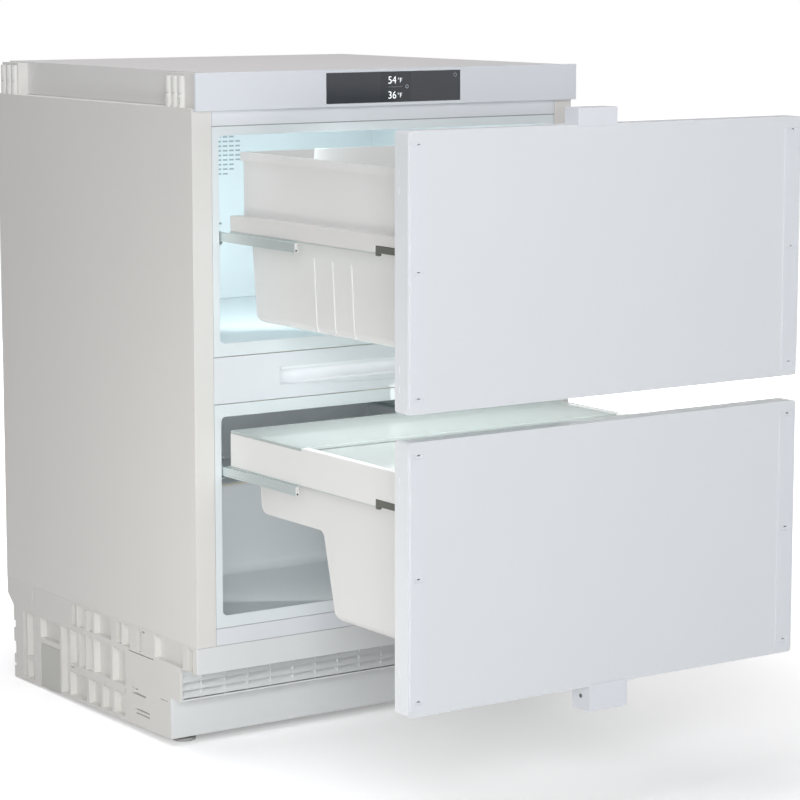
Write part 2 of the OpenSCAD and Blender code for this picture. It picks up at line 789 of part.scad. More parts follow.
module condenser()
    color([0.6, 0.6, 0.6]) in_case() {
        fins = 22;
        pitch = (condenser_x1 - condenser_x - fin_t) / fins;
        y0 = fan_room_y0 + 6;
        y1 = fan_room_y1 - 6;
        for (i = [0:fins])
            block([condenser_x + i * pitch, condenser_x + i * pitch + fin_t], [y0, y1],
                  [tray_top, condenser_z1]);
        for (i = [0:3], j = [0:3])
            translate([condenser_x - 4, y0 + (y1 - y0) * (i + 0.5) / 4,
                       tray_top + (condenser_z1 - tray_top) * (j + 0.5) / 4])
                rotate([0, 90, 0]) cylinder(r = 4, h = condenser_x1 - condenser_x + 8);
    }

// Hub, blades and shaft of a fan along +Z, turning about the origin
module fan(r, hub_r, depth, blades) {
    cylinder(r = hub_r, h = depth);
    translate([0, 0, -9]) cylinder(r = shaft_r, h = depth + 9);
    for (i = [0:blades - 1])
        rotate([0, 0, i * 360 / blades]) translate([hub_r - 3, 0, depth / 2]) rotate([28, 0, 0])
            translate([0, -r * 0.24, -0.75]) cube([r * 0.97 - hub_r + 3, r * 0.48, 1.5]);
}

// A motor on arms, with the bore that carries a fan's shaft
module motor_mount(r, body_r, body_l, arm_w) {
    difference() {
        union() {
            translate([0, 0, -body_l - 2]) cylinder(r = body_r, h = body_l);
            for (a = [0:90:270])
                rotate([0, 0, a + 45]) translate([0, -arm_w / 2, -body_l - 2])
                    cube([r, arm_w, 4]);
        }
        translate([0, 0, -14]) cylinder(r = shaft_r + shaft_gap, h = 20);
    }
}

module fan_shroud()
    color([0.2, 0.2, 0.21]) in_case() {
        translate([fan_x, comp_y, fan_z]) rotate([0, 90, 0])
            motor_mount(cond_fan_r + 8, motor_r, 20, 8);
        difference() {
            union() {
                block([shroud_x, shroud_x + 3], [fan_room_y0, fan_room_y1], [tray_top, room_z - 1]);
                translate([shroud_x, comp_y, fan_z]) rotate([0, 90, 0])
                    cylinder(r = cond_fan_r + 7, h = fan_x + 16 - shroud_x);
            }
            translate([shroud_x - 3, comp_y, fan_z]) rotate([0, 90, 0])
                cylinder(r = cond_fan_r + 4, h = cond_fan_r);
        }
    }

module condenser_fan()
    color([0.3, 0.3, 0.32]) in_case() translate([fan_x, comp_y, fan_z]) rotate([0, 90, 0])
        fan(cond_fan_r, 16, 14, 5);

module machine_cover()
    color([0.7, 0.71, 0.72]) in_case() difference() {
        union() {
            block([0.2 - mould_x, mould_x - 0.2], [mould_y1 - 2, mould_y1 - 0.5], [tray_z, base_h - 1]);
            block([0.2 - mould_x, mould_x - 0.2], [mould_y1 - 2, foam_end], [base_h - 2.5, base_h - 1]);
        }
        for (i = [-6:6], j = [0:5]) if (abs(i * 40 - inlet_x) > 44)
            block([i * 40 - 15, i * 40 + 15], [mould_y1 - 4, mould_y1 + 1], [42 + j * 15, 48 + j * 15]);
        block([inlet_x - 24.3, inlet_x + 24.3], [mould_y1 - 4, mould_y1 + 1],
              [inlet_z - 14.3, inlet_z + 14.3]);
    }

module power_inlet()
    color([0.1, 0.1, 0.1]) in_case() {
        y1 = mould_y1 + 1.5;
        difference() {
            union() {
                block([inlet_x - 24, inlet_x + 24], [y1 - 24, y1], [inlet_z - 14, inlet_z + 14]);
                block([inlet_x - 28, inlet_x + 28], [mould_y1 - 0.5, y1], [inlet_z - 17, inlet_z + 17]);
            }
            along_y([y1 - 18, y1 + eps])
                soft_box([inlet_x - 12, inlet_x + 12], [inlet_z - 8, inlet_z + 8], 3);
        }
        for (i = [-1:1])
            block([inlet_x + i * 7 - 1, inlet_x + i * 7 + 1], [y1 - 20, y1 - 8],
                  [inlet_z - 2 - 2 * abs(i), inlet_z + 3 - 2 * abs(i)]);
    }

module evaporator()
    color([0.72, 0.73, 0.75]) in_case() {
        y0 = duct_d + duct_t + 5;
        y1 = up_d - 10;
        z0 = up_open_z + 34;
        fins = floor(evap_w / 10);
        for (i = [0:fins])
            block([i * 10 - evap_w / 2, i * 10 - evap_w / 2 + fin_t], [y0, y1], [z0, z0 + evap_h]);
        for (i = [0:1], j = [0:3])
            translate([-evap_w / 2 - 6, y0 + (y1 - y0) * (i + 0.5) / 2, z0 + evap_h * (j + 0.5) / 4])
                rotate([0, 90, 0]) cylinder(r = 4, h = evap_w + 12);
        for (x = [-evap_w / 2, evap_w / 2])
            block([x, x + fin_t], [y0, up_d], [z0 + 10, z0 + evap_h - 10]);
    }

module evaporator_fan()
    color([0.85, 0.86, 0.87]) in_case() translate([air_x, evap_fan_y, air_z]) rotate([90, 0, 0])
        fan(evap_fan_r, 12, 14, 5);

// The cover with the fan's housing behind its round air grille
module duct_cover()
    color([0.92, 0.96, 0.98]) in_case() {
        duct_plate();
        translate([air_x, evap_fan_y, air_z]) rotate([90, 0, 0]) motor_mount(evap_fan_r + 3.5, 12, 14, 5);
        along_y([duct_d + duct_t, evap_fan_y + 16]) translate([air_x, air_z]) difference() {
            circle(evap_fan_r + 5);
            circle(evap_fan_r + 3);
        }
    }

module duct_plate()
    difference() {
        along_y([duct_d, duct_d + duct_t])
            soft_box([0.2 - liner_x, liner_x - 0.2], [up_open_z + 0.2, up_top_z - 0.2], opening_r);
        for (row = [-floor(air_r / 6.6):floor(air_r / 6.6)], col = [-3:3]) {
            x = air_x + col * 10.5;
            z = air_z + row * 6.6;
            if (norm([abs(x - air_x) + 4, z - air_z]) < air_r)
                block([x - 4, x + 4], [duct_d - eps, duct_d + duct_t + eps], [z - 1.2, z + 1.2]);
        }
    }

// ---- slides ----

// A rail open towards the middle of the cabinet, held to a wall at x = 0 and going to -x
module channel(depth, h, t, lip, y) {
    block([-t, 0], y, [-h / 2, h / 2]);
    for (s = [-1, 1])
        scale_z(s) {
            block([-depth, 0], y, [h / 2 - t, h / 2]);
            block([-depth, t - depth], y, [h / 2 - t - lip, h / 2]);
        }
}

module scale_z(s) mirror([0, 0, s < 0 ? 1 : 0]) children();

// A fixed rail: the channel, and inside it the two guides of the middle rail
module fixed_rail(y) {
    channel(rail_w, rail_h, rail_t, rail_lip, y);
    translate([0, 0, mid_rail_z])
        for (s = [-1, 1])
            scale_z(s) block([-mid_rail_x - mid_rail_w, -rail_t + 0.2], y,
                             [mid_rail_h / 2 + run_gap, mid_rail_h / 2 + run_gap + rail_t]);
}

module fixed_rails()
    color([0.62, 0.68, 0.67]) in_case() pair() {
        translate([liner_x, 0, up_slide_z]) fixed_rail([rail_in, up_rail_y1]);
        translate([liner_x, 0, low_slide_z]) fixed_rail([rail_in, low_rail_y1]);
    }

module rail_stops()
    color([0.08, 0.08, 0.08]) in_case()
        for (z = [up_slide_z, low_slide_z])
            pair() translate([liner_x - rail_w, rail_in, z])
                block([0, rail_t], [0, 9], [-rail_h / 2 + rail_t + rail_lip, arm_z - arm_t - 1]);

module middle_rails(z, rail_y1)
    pair() translate([liner_x - mid_rail_x, 0, z + mid_rail_z]) difference() {
        channel(mid_rail_w, mid_rail_h, mid_rail_t, rail_lip, [mid_rail_y, rail_y1 - mid_rail_end]);
        translate([0, 0, groove_up - mid_rail_h / 2])
            block([-mid_rail_t * 0.4, eps], [mid_rail_y - eps, rail_y1], [-0.5, 0.5]);
    }

module upper_middle_rails() color([0.66, 0.71, 0.7]) drawn(0.5) middle_rails(up_slide_z, up_rail_y1);

module lower_middle_rails() color([0.66, 0.71, 0.7]) drawn(0.5) middle_rails(low_slide_z, low_rail_y1);

// The drawer's own rail: a bar in the middle rail, and a bracket from it to a shelf under the carrier
module drawer_rails(z, reach, rail_y1)
    pair() translate([liner_x, 0, z]) {
        bar = [bar_y, rail_y1 - bar_end];
        block([-bar_x - bar_w, -bar_x], bar, [mid_rail_z - bar_h / 2, mid_rail_z + bar_h / 2]);
        block([-rail_w, -bar_x], bar, [arm_z - arm_t, arm_z]);
        block([-rail_w, draw_rail_t - rail_w], bar, [arm_z - arm_t, shelf_z]);
        block([-reach, draw_rail_t - rail_w], bar, [shelf_up, shelf_z]);
        block([-reach, -rail_w - side_gap - 0.2], [latch_y + 4, bar[1]], [shelf_up, shelf_z]);
    }

module upper_drawer_rails()
    color([0.66, 0.71, 0.7]) drawn() drawer_rails(up_slide_z, liner_x - ledge_x0 - 4, up_rail_y1);

module lower_drawer_rails()
    color([0.66, 0.71, 0.7]) drawn() drawer_rails(low_slide_z, liner_x - brim_x - bin_t - 1, low_rail_y1);

module latches(z)
    pair() {
        block([latch_x - latch_w, latch_x], [back_y, latch_y], [z + latch_up, z + latch_up + latch_h]);
        block([latch_x - latch_w, latch_x], [latch_y - 6, latch_y],
              [z + latch_up - 3.5, z + latch_up + eps]);
    }

module upper_latches() color([0.33, 0.34, 0.33]) drawn() latches(up_slide_z);

module lower_latches() color([0.33, 0.34, 0.33]) drawn() latches(low_slide_z);

// Room for a latch in what lies over it
module latch_room(z)
    pair() block([latch_x - latch_w - latch_gap, half_w], [back_y - eps, latch_y + latch_gap],
                 [z, z + latch_up + latch_h + latch_gap]);

module upper_carriers()
    color([0.93, 0.93, 0.92]) drawn() difference() {
        pair() difference() {
            block([drawer_x - up_carrier_w, drawer_x], [back_y, carrier_y1], [up_carrier_z, ledge_z]);
            block([drawer_x - up_carrier_w + carrier_t, drawer_x - carrier_t],
                  [back_y + 20, carrier_y1 - carrier_t], [up_carrier_z - eps, ledge_z - carrier_t]);
        }
        latch_room(up_slide_z);
    }

module lower_carriers()
    color([0.93, 0.93, 0.92]) drawn() difference() {
        pair() block([brim_x + bin_t + 0.2, low_carrier_x - 0.2], [back_y, low_bin_y1 - bin_t - 0.4],
                     [low_carrier_z, brim_z - bin_t]);
        latch_room(low_slide_z);
    }

// ---- drawer fronts ----

module front_outline(in = 0, z)
    soft_box([in - front_w / 2, front_w / 2 - in], [z + in, z + front_h - in], front_r);

// Holes for the panel's fixing screws
module panel_holes(z)
    for (i = [-1:1])
        pair() translate([hole_x, face_y - strip_t - eps, z + front_h / 2 + i * hole_h / 2])
            rotate([-90, 0, 0]) cylinder(r = hole_r, h = hole_d + eps);

module front_skin(z)
    difference() {
        along_y([face_y, back_y]) front_outline(0, z);
        along_y([face_y + front_sheet, back_y + eps]) front_outline(front_sheet, z);
        panel_holes(z);
    }

module front_core(z)
    difference() {
        along_y([face_y + front_sheet, back_y]) front_outline(front_sheet, z);
        panel_holes(z);
    }

module gasket(z) {
    x0 = liner_x + gasket_out;
    z0 = z[0] - gasket_out;
    z1 = z[1] + gasket_out;
    along_y([back_y, back_y + gasket_base]) ring([-x0, x0], [z0, z1], gasket_w, 6);
    along_y([back_y, -seal_gap])
        ring([-x0 - gasket_in, x0 + gasket_in], [z0 - gasket_in, z1 + gasket_in],
             gasket_w - 2 * gasket_in, 6 + gasket_in / 2);
}

module strips(z)
    difference() {
        pair() block([front_w / 2 - strip_in - strip_w, front_w / 2 - strip_in], [face_y - strip_t, face_y],
                     [z + strip_bottom, z + front_h - strip_top]);
        panel_holes(z);
    }

module upper_front() color([0.85, 0.88, 0.9]) drawn() front_skin(upper_front_z);

module lower_front() color([0.85, 0.88, 0.9]) drawn() front_skin(front_z0);

module upper_front_core() color([0.9, 0.9, 0.89]) drawn() front_core(upper_front_z);

module lower_front_core() color([0.9, 0.9, 0.89]) drawn() front_core(front_z0);

module upper_gasket() color([0.7, 0.71, 0.72]) drawn() gasket([up_open_z, up_top_z]);

module lower_gasket() color([0.7, 0.71, 0.72]) drawn() gasket([low_open_z, low_top_z]);

module upper_strips() color([0.86, 0.88, 0.9]) drawn() strips(upper_front_z);

module lower_strips() color([0.86, 0.88, 0.9]) drawn() strips(front_z0);

module upper_lug()
    color([0.88, 0.89, 0.9]) drawn() {
        x = [up_lug_x - lug_w / 2, up_lug_x + lug_w / 2];
        block(x, [face_y - strip_t, face_y + up_lug_d], [front_z1, front_z1 + up_lug_h]);
        block(x, [face_y - strip_t, face_y], [front_z1 - lug_lip, front_z1 + eps]);
    }

module lower_lug()
    color([0.88, 0.89, 0.9]) drawn() {
        x = [-lug_w / 2, lug_w / 2];
        block(x, [face_y - strip_t, face_y + low_lug_d], [front_z0 - low_lug_h, front_z0]);
        block(x, [face_y - strip_t, face_y], [front_z0 - eps, front_z0 + lug_lip]);
    }

// ---- bins ----

// Cross section of the upper bin, moved in by t for its hollow
module up_bin_section(t) {
    x0 = ledge_x0 - t;
    x1 = ledge_x1 - t;
    z0 = up_bin_z0 + t;
    zl = ledge_z + t;
    zt = up_bin_z1 + (t > 0 ? eps : 0);
    polygon(rounded(
        [[side_lean - x0, z0], [x0 - side_lean, z0], [x0, zl], [x1, zl],
         [x1, zt], [-x1, zt], [-x1, zl], [-x0, zl]],
        [bin_r - t, bin_r - t, 0, 0, 0, 0, 0, 0]));
}

module up_bin_profile(t)
    polygon(rounded(
        [[bin_y0 + t, up_bin_z0 + t], [up_bin_y1 - back_lean - t, up_bin_z0 + t],
         [up_bin_y1 - t, up_bin_z1 + (t > 0 ? eps : 0)], [bin_y0 + t, up_bin_z1 + (t > 0 ? eps : 0)]],
        [bin_r - t, bin_r - t, 0, 0]));

module up_bin_solid(t)
    intersection() {
        along_y([bin_y0 - eps, up_bin_y1 + eps]) up_bin_section(t);
        along_x([-half_w, half_w]) up_bin_profile(t);
    }

module upper_bin()
    color([0.93, 0.94, 0.94]) drawn() difference() {
        union() {
            up_bin_solid(0);
            block([-ledge_x1 - rim_out, ledge_x1 + rim_out], [bin_y0 - 1.5, up_bin_y1 + 1.5],
                  [up_bin_z1 - rim_h, up_bin_z1]);
            for (i = [-1:1])
                pair() along_y([rib_y + i * bin_rib_pitch, rib_y + 2.5 + i * bin_rib_pitch])
                    polygon([
                        [ledge_x0 - side_lean - 4, up_bin_z0 + 3],
                        [ledge_x0 - side_lean + bin_rib, up_bin_z0 + 3],
                        [rib_x1 + bin_rib, rib_z1],
                        [rib_x1 - 2, rib_z1]
                    ]);
        }
        up_bin_solid(bin_t);
    }

// Side view of the lower bin's tub, moved in by t for its hollow
module tub_profile(t) {
    top = ledge_top + (t > 0 ? eps : 0);
    y0 = bin_y0 + brim_w - bin_t + t;
    y1 = low_bin_y1 - brim_w - cover_ledge + bin_t - t;
    deep_y = step_d - deep_gap - t;
    polygon(rounded(
        [[y0, deep_z + t], [deep_y - deep_lean, deep_z + t], [deep_y, shallow_z + t],
         [y1 - back_lean, shallow_z + t], [y1, top], [y0, top]],
        [bin_r - t, bin_r + 4 - t, bin_r - 3 + t, bin_r - t, 0, 0]));
}

module tub_section(t) {
    top = ledge_top + (t > 0 ? eps : 0);
    polygon(rounded(
        [[side_lean + 5 - tub_x + t, deep_z + t], [tub_x - side_lean - 5 - t, deep_z + t],
         [tub_x - t, top], [t - tub_x, top]],
        [bin_r - t, bin_r - t, 0, 0]));
}

module tub(t)
    intersection() {
        along_x([-half_w, half_w]) tub_profile(t);
        along_y([bin_y0 - eps, low_bin_y1]) tub_section(t);
    }

// A ring between the bin's outer edge, moved in by a, and moved in by b
module brim_ring(a, b, z, low_y = 0)
    difference() {
        block([a - drawer_x, drawer_x - a], [bin_y0 + a, low_bin_y1 - a], z);
        block([b - drawer_x, drawer_x - b], [bin_y0 + min(b, brim_w), low_bin_y1 - b],
              [z[0] - eps, z[1] + eps]);
    }

module lower_bin()
    color([0.93, 0.93, 0.92]) drawn() difference() {
        union() {
            tub(0);
            brim_ring(brim_w - bin_t, brim_w + cover_ledge, [ledge_top - bin_t, ledge_top]);
            brim_ring(brim_w - bin_t, brim_w, [ledge_top - bin_t, brim_z]);
            brim_ring(0, brim_w, [brim_z - bin_t, brim_z]);
            difference() {
                block([-drawer_x, drawer_x], [bin_y0, low_bin_y1], [low_carrier_z, brim_z]);
                block([bin_t - drawer_x, drawer_x - bin_t], [bin_y0 - eps, low_bin_y1 - bin_t],
                      [low_carrier_z - eps, brim_z + eps]);
            }
            pair() block([brim_x, drawer_x], [bin_y0, seam_y - glass_gap], [brim_z - 0.5, glass_z1]);
        }
        tub(bin_t);
        latch_room(low_slide_z);
    }

module rear_glass()
    color([0.75, 0.84, 0.82, 0.5]) drawn()
        block([0.4 - drawer_x, drawer_x - 0.4], [seam_y, low_bin_y1 - 0.4], [brim_z, glass_z1]);

module front_glass()
    color([0.75, 0.84, 0.82, 0.5]) drawn()
        block([glass_gap - brim_x, brim_x - glass_gap], [bin_y0 + brim_w + glass_gap, seam_y],
              [ledge_top + glass_gap / 2, ledge_top + glass_gap / 2 + glass_t - 0.2]);

// ---- feet ----

module foot(x, y)
    color([0.2, 0.2, 0.2]) in_case() translate([x, y, 0]) {
        rotate_extrude() polygon([
            [0, 0], [pad_r - 1, 0], [pad_r, 1], [pad_r, pad_h - 4], [screw_r + 2, pad_h], [0, pad_h]
        ]);
        cylinder(r = screw_r, h = screw_end);
    }

module front_left_foot() foot(-foot_x, foot_y0);

module front_right_foot() foot(foot_x, foot_y0);

module rear_left_foot() foot(-foot_x, foot_y1);

module rear_right_foot() foot(foot_x, foot_y1);

left_side_panel();
right_side_panel();
top_cover();
back_panel();
side_foam();
deck_foam();
back_foam();
upper_liner();
lower_liner();
top_trim();
middle_trim();
bottom_trim();
middle_light();
fascia();
display_glass();
control_board();
corner_blocks();
base_left();
base_right();
base_pan();
machine_tray();
air_grille();
plinth_panel();
compressor();
condenser();
fan_shroud();
machine_cover();
power_inlet();
evaporator();
duct_cover();
fixed_rails();
rail_stops();
condenser_fan();
evaporator_fan();
front_left_foot();
front_right_foot();
rear_left_foot();
rear_right_foot();
upper_middle_rails();
lower_middle_rails();
upper_front();
upper_front_core();
upper_gasket();
upper_strips();
upper_lug();
upper_carriers();
upper_drawer_rails();
upper_latches();
upper_bin();
lower_front();
lower_front_core();
lower_gasket();
lower_strips();
lower_lug();
lower_carriers();
lower_drawer_rails();
lower_latches();
lower_bin();
rear_glass();
front_glass();
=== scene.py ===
# %% [markdown]
# A built-in refrigerator with two insulated drawers, standing open on a pale floor. The cabinet,
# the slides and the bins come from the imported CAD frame, in metres. This lesson gives each piece its
# finish, softens its edges, and adds the small things that a CAD model leaves out.

import json
import math

import bmesh
import bpy
from mathutils import Matrix, Vector


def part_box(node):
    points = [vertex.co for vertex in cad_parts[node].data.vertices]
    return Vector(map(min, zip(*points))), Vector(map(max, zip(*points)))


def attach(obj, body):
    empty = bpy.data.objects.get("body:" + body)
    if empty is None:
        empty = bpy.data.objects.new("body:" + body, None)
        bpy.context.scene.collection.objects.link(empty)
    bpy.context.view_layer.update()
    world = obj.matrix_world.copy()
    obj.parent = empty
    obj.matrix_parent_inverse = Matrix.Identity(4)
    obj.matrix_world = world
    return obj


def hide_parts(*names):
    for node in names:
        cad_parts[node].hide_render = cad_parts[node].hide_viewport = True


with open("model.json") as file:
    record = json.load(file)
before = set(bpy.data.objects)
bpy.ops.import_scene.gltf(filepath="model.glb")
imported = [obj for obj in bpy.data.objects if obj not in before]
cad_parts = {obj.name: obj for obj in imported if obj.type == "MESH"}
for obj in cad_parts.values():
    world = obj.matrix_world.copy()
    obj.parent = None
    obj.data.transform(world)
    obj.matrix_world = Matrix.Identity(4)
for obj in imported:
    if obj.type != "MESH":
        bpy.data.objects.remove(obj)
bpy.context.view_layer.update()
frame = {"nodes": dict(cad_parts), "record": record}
nodes = frame["nodes"]
record = frame["record"]
MM = 0.001

# %% [markdown]
# The photograph was taken from the front left with a long lens, from a little above. Its upright
# lines stay parallel, as a shifted lens makes them. The camera here looks down by nine degrees
# instead, because views from other sides keep the shift and would lose the piece off the frame. The
# place and the lens come from a fit to the cabinet's straight edges, and no corner is more than
# about eight pixels off.

# %% Camera
case_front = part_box("left_side_panel")[0][1]
half_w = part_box("right_side_panel")[1][0]

camera_data = bpy.data.cameras.new("photo_camera")
camera_data.lens = 128.98
camera_data.sensor_width = 36.0
camera_data.clip_end = 60.0
LOOK_DOWN, LOOK_RIGHT = 8.627, 34.307
camera = bpy.data.objects.new("photo_camera", camera_data)
camera.location = (-2.1054, case_front - 3.1094, 1.0119)
camera.rotation_euler = (math.radians(90.0 - LOOK_DOWN), 0.0, math.radians(-LOOK_RIGHT))
bpy.context.scene.collection.objects.link(camera)
bpy.context.scene.camera = camera
bpy.context.scene.view_settings.view_transform = "Standard"
print("camera at", tuple(round(v, 3) for v in camera.location))

# %% [markdown]
# White plastic and painted steel are never one flat colour. Light catches a fine grain or a slight
# waviness, and the tone drifts a little over a large panel. One node group gives all of these
# finishes their drift, their grain and their changing roughness, each with its own numbers.

# %% Colours from screen values
def screen(r, g, b):
    """A colour as a screen shows it, from 0 to 255, as the linear colour that shaders take."""
    def linear(v):
        v = v / 255.0
        return v / 12.92 if v <= 0.04045 else ((v + 0.055) / 1.055) ** 2.4
    return (linear(r), linear(g), linear(b), 1.0)


# %% Helpers for node trees
def math_node(tree, kind, a, b=None):
    """One Math node, fed with numbers or with other nodes' outputs."""
    node = tree.nodes.new("ShaderNodeMath")
    node.operation = kind
    for socket, value in zip(node.inputs, (a, b)):
        if value is None:
            continue
        if isinstance(value, (int, float)):
            socket.default_value = value
        else:
            tree.links.new(value, socket)
    return node.outputs[0]


def noise(tree, vector, scale, detail=2.0):
    """A noise pattern in the piece's own coordinates."""
    node = tree.nodes.new("ShaderNodeTexNoise")
    node.inputs["Detail"].default_value = detail
    if isinstance(scale, (int, float)):
        node.inputs["Scale"].default_value = scale
    else:
        tree.links.new(scale, node.inputs["Scale"])
    tree.links.new(vector, node.inputs["Vector"])
    return node.outputs["Fac"]


# %% The shared surface group
TONE_SCALE, SMEAR_SCALE = 5.0, 28.0
GRAIN_HEIGHT = 0.0004


def build_surface_group():
    """Colour, roughness and height that change a little over a surface."""
    group = bpy.data.node_groups.new("moulded_surface", "ShaderNodeTree")
    face = group.interface
    face.new_socket("Colour", in_out="INPUT", socket_type="NodeSocketColor")
    for name, value in (("Tone drift", 0.03), ("Roughness", 0.4), ("Roughness drift", 0.08),
                        ("Grain scale", 900.0), ("Stretch", 1.0)):
        socket = face.new_socket(name, in_out="INPUT", socket_type="NodeSocketFloat")
        socket.default_value = value
    face.new_socket("Colour", in_out="OUTPUT", socket_type="NodeSocketColor")
    face.new_socket("Roughness", in_out="OUTPUT", socket_type="NodeSocketFloat")
    face.new_socket("Height", in_out="OUTPUT", socket_type="NodeSocketFloat")
    entry = group.nodes.new("NodeGroupInput")
    leave = group.nodes.new("NodeGroupOutput")
    place = group.nodes.new("ShaderNodeTexCoord").outputs["Object"]

    split = group.nodes.new("ShaderNodeSeparateXYZ")
    join = group.nodes.new("ShaderNodeCombineXYZ")
    group.links.new(place, split.inputs[0])
    group.links.new(split.outputs[0], join.inputs[0])
    group.links.new(math_node(group, "DIVIDE", split.outputs[1], entry.outputs["Stretch"]), join.inputs[1])
    group.links.new(split.outputs[2], join.inputs[2])

    drift = noise(group, place, TONE_SCALE, 3.0)
    centred = math_node(group, "SUBTRACT", drift, 0.5)
    swing = math_node(group, "MULTIPLY", centred, entry.outputs["Tone drift"])
    factor = math_node(group, "ADD", swing, 1.0)
    tint = group.nodes.new("ShaderNodeVectorMath")
    tint.operation = "SCALE"
    group.links.new(entry.outputs["Colour"], tint.inputs[0])
    group.links.new(factor, tint.inputs["Scale"])
    group.links.new(tint.outputs[0], leave.inputs["Colour"])

    grain = noise(group, join.outputs[0], entry.outputs["Grain scale"], 3.0)
    smear = noise(group, join.outputs[0], SMEAR_SCALE, 2.0)
    rough_swing = math_node(group, "MULTIPLY", math_node(group, "SUBTRACT", smear, 0.5),
                            entry.outputs["Roughness drift"])
    group.links.new(math_node(group, "ADD", rough_swing, entry.outputs["Roughness"]),
                    leave.inputs["Roughness"])
    group.links.new(grain, leave.inputs["Height"])
    return group


surface_group = build_surface_group()
print("group sockets:", [s.name for s in surface_group.interface.items_tree])

# %% A finish made with the group
finishes = {}


def finish(name, colour, rough=0.4, drift=0.03, rough_drift=0.08, grain=900.0, depth=0.02, stretch=1.0,
           metal=0.0, coat=0.0):
    """A material whose tone, roughness and fine relief come from the shared group."""
    material = bpy.data.materials.new(name)
    material.use_nodes = True
    tree = material.node_tree
    shader = tree.nodes["Principled BSDF"]
    shader.inputs["Metallic"].default_value = metal
    if coat:
        shader.inputs["Coat Weight"].default_value = coat
        shader.inputs["Coat Roughness"].default_value = 0.08
    group = tree.nodes.new("ShaderNodeGroup")
    group.node_tree = surface_group
    group.inputs["Colour"].default_value = colour
    group.inputs["Tone drift"].default_value = drift
    group.inputs["Roughness"].default_value = rough
    group.inputs["Roughness drift"].default_value = rough_drift
    group.inputs["Grain scale"].default_value = grain
    group.inputs["Stretch"].default_value = stretch
    bump = tree.nodes.new("ShaderNodeBump")
    bump.inputs["Strength"].default_value = depth
    bump.inputs["Distance"].default_value = GRAIN_HEIGHT
    tree.links.new(group.outputs["Colour"], shader.inputs["Base Color"])
    tree.links.new(group.outputs["Roughness"], shader.inputs["Roughness"])
    tree.links.new(group.outputs["Height"], bump.inputs["Height"])
    tree.links.new(bump.outputs[0], shader.inputs["Normal"])
    finishes[name] = material
    return material


# %% Finishes for the white and grey pieces
finish("side_steel", screen(229, 227, 223), rough=0.42, drift=0.02, grain=650.0, depth=0.05)
finish("front_steel", screen(231, 234, 236), rough=0.38, drift=0.012, grain=650.0, depth=0.04)
finish("liner_plastic", screen(232, 238, 240), rough=0.32, drift=0.02, grain=1500.0, depth=0.03)
finish("trim_plastic", screen(231, 234, 238), rough=0.34, drift=0.015, grain=1500.0, depth=0.03)
finish("fascia_plastic", screen(231, 235, 240), rough=0.3, drift=0.012, grain=1500.0, depth=0.02)
cover_plastic = finish("cover_plastic", screen(226, 225, 223), rough=0.68, drift=0.03, grain=1100.0,
                       depth=0.08)
cover_plastic.node_tree.nodes["Principled BSDF"].inputs["Specular IOR Level"].default_value = 0.3
finish("base_plastic", screen(226, 225, 221), rough=0.5, drift=0.05, grain=1100.0, depth=0.12)
finish("cover_grey", screen(202, 202, 197), rough=0.5, drift=0.04, grain=1100.0, depth=0.12)
finish("grille_plastic", screen(230, 232, 232), rough=0.42, drift=0.02, grain=1300.0, depth=0.05)
finish("bin_plastic", screen(234, 234, 232), rough=0.3, drift=0.015, grain=1500.0, depth=0.03)
finish("carrier_plastic", screen(226, 225, 222), rough=0.4, drift=0.02, grain=1500.0, depth=0.04)
finish("seal_rubber", screen(190, 192, 193), rough=0.6, drift=0.05, grain=1800.0, depth=0.1)
finish("lens", screen(245, 248, 250), rough=0.35, drift=0.01, grain=1500.0, depth=0.02)
# The disc behind the air grille: its pale colour is painted light seen through the slots.
finish("air_screen", screen(170, 180, 184), rough=0.7, drift=0.06, grain=2600.0, depth=0.3)
print("white and grey finishes:", len(finishes))

# %% Finishes for metal and dark pieces
finish("zinc_steel", screen(214, 224, 223), rough=0.38, drift=0.2, rough_drift=0.2, grain=420.0,
       depth=0.08, stretch=14.0, metal=0.55)
finish("tray_steel", screen(186, 189, 190), rough=0.4, drift=0.3, rough_drift=0.25, grain=90.0,
       depth=0.05, metal=0.9)
finish("fin_aluminium", screen(205, 208, 211), rough=0.36, drift=0.12, rough_drift=0.15, grain=500.0,
       depth=0.1, metal=0.95)
finish("black_plastic", screen(38, 39, 40), rough=0.45, drift=0.2, grain=1500.0, depth=0.15)
finish("grey_plastic", screen(104, 106, 99), rough=0.42, drift=0.15, grain=1500.0, depth=0.12)
finish("foot_plastic", screen(176, 176, 174), rough=0.5, drift=0.08, grain=1200.0, depth=0.1)
finish("compressor_shell", screen(30, 30, 32), rough=0.22, drift=0.3, rough_drift=0.2, grain=300.0,
       depth=0.08, coat=0.5)
finish("board", screen(28, 92, 56), rough=0.35, drift=0.3, grain=700.0, depth=0.3)
print("all finishes:", len(finishes))

# %% [markdown]
# The insulation is sprayed foam. Cut open, it shows small round cells, so its material mixes two
# tones by the distance to the nearest cell wall. It is hidden in the finished cabinet, apart from the
# fine seams of the front frame, where grey tape covers its edge.

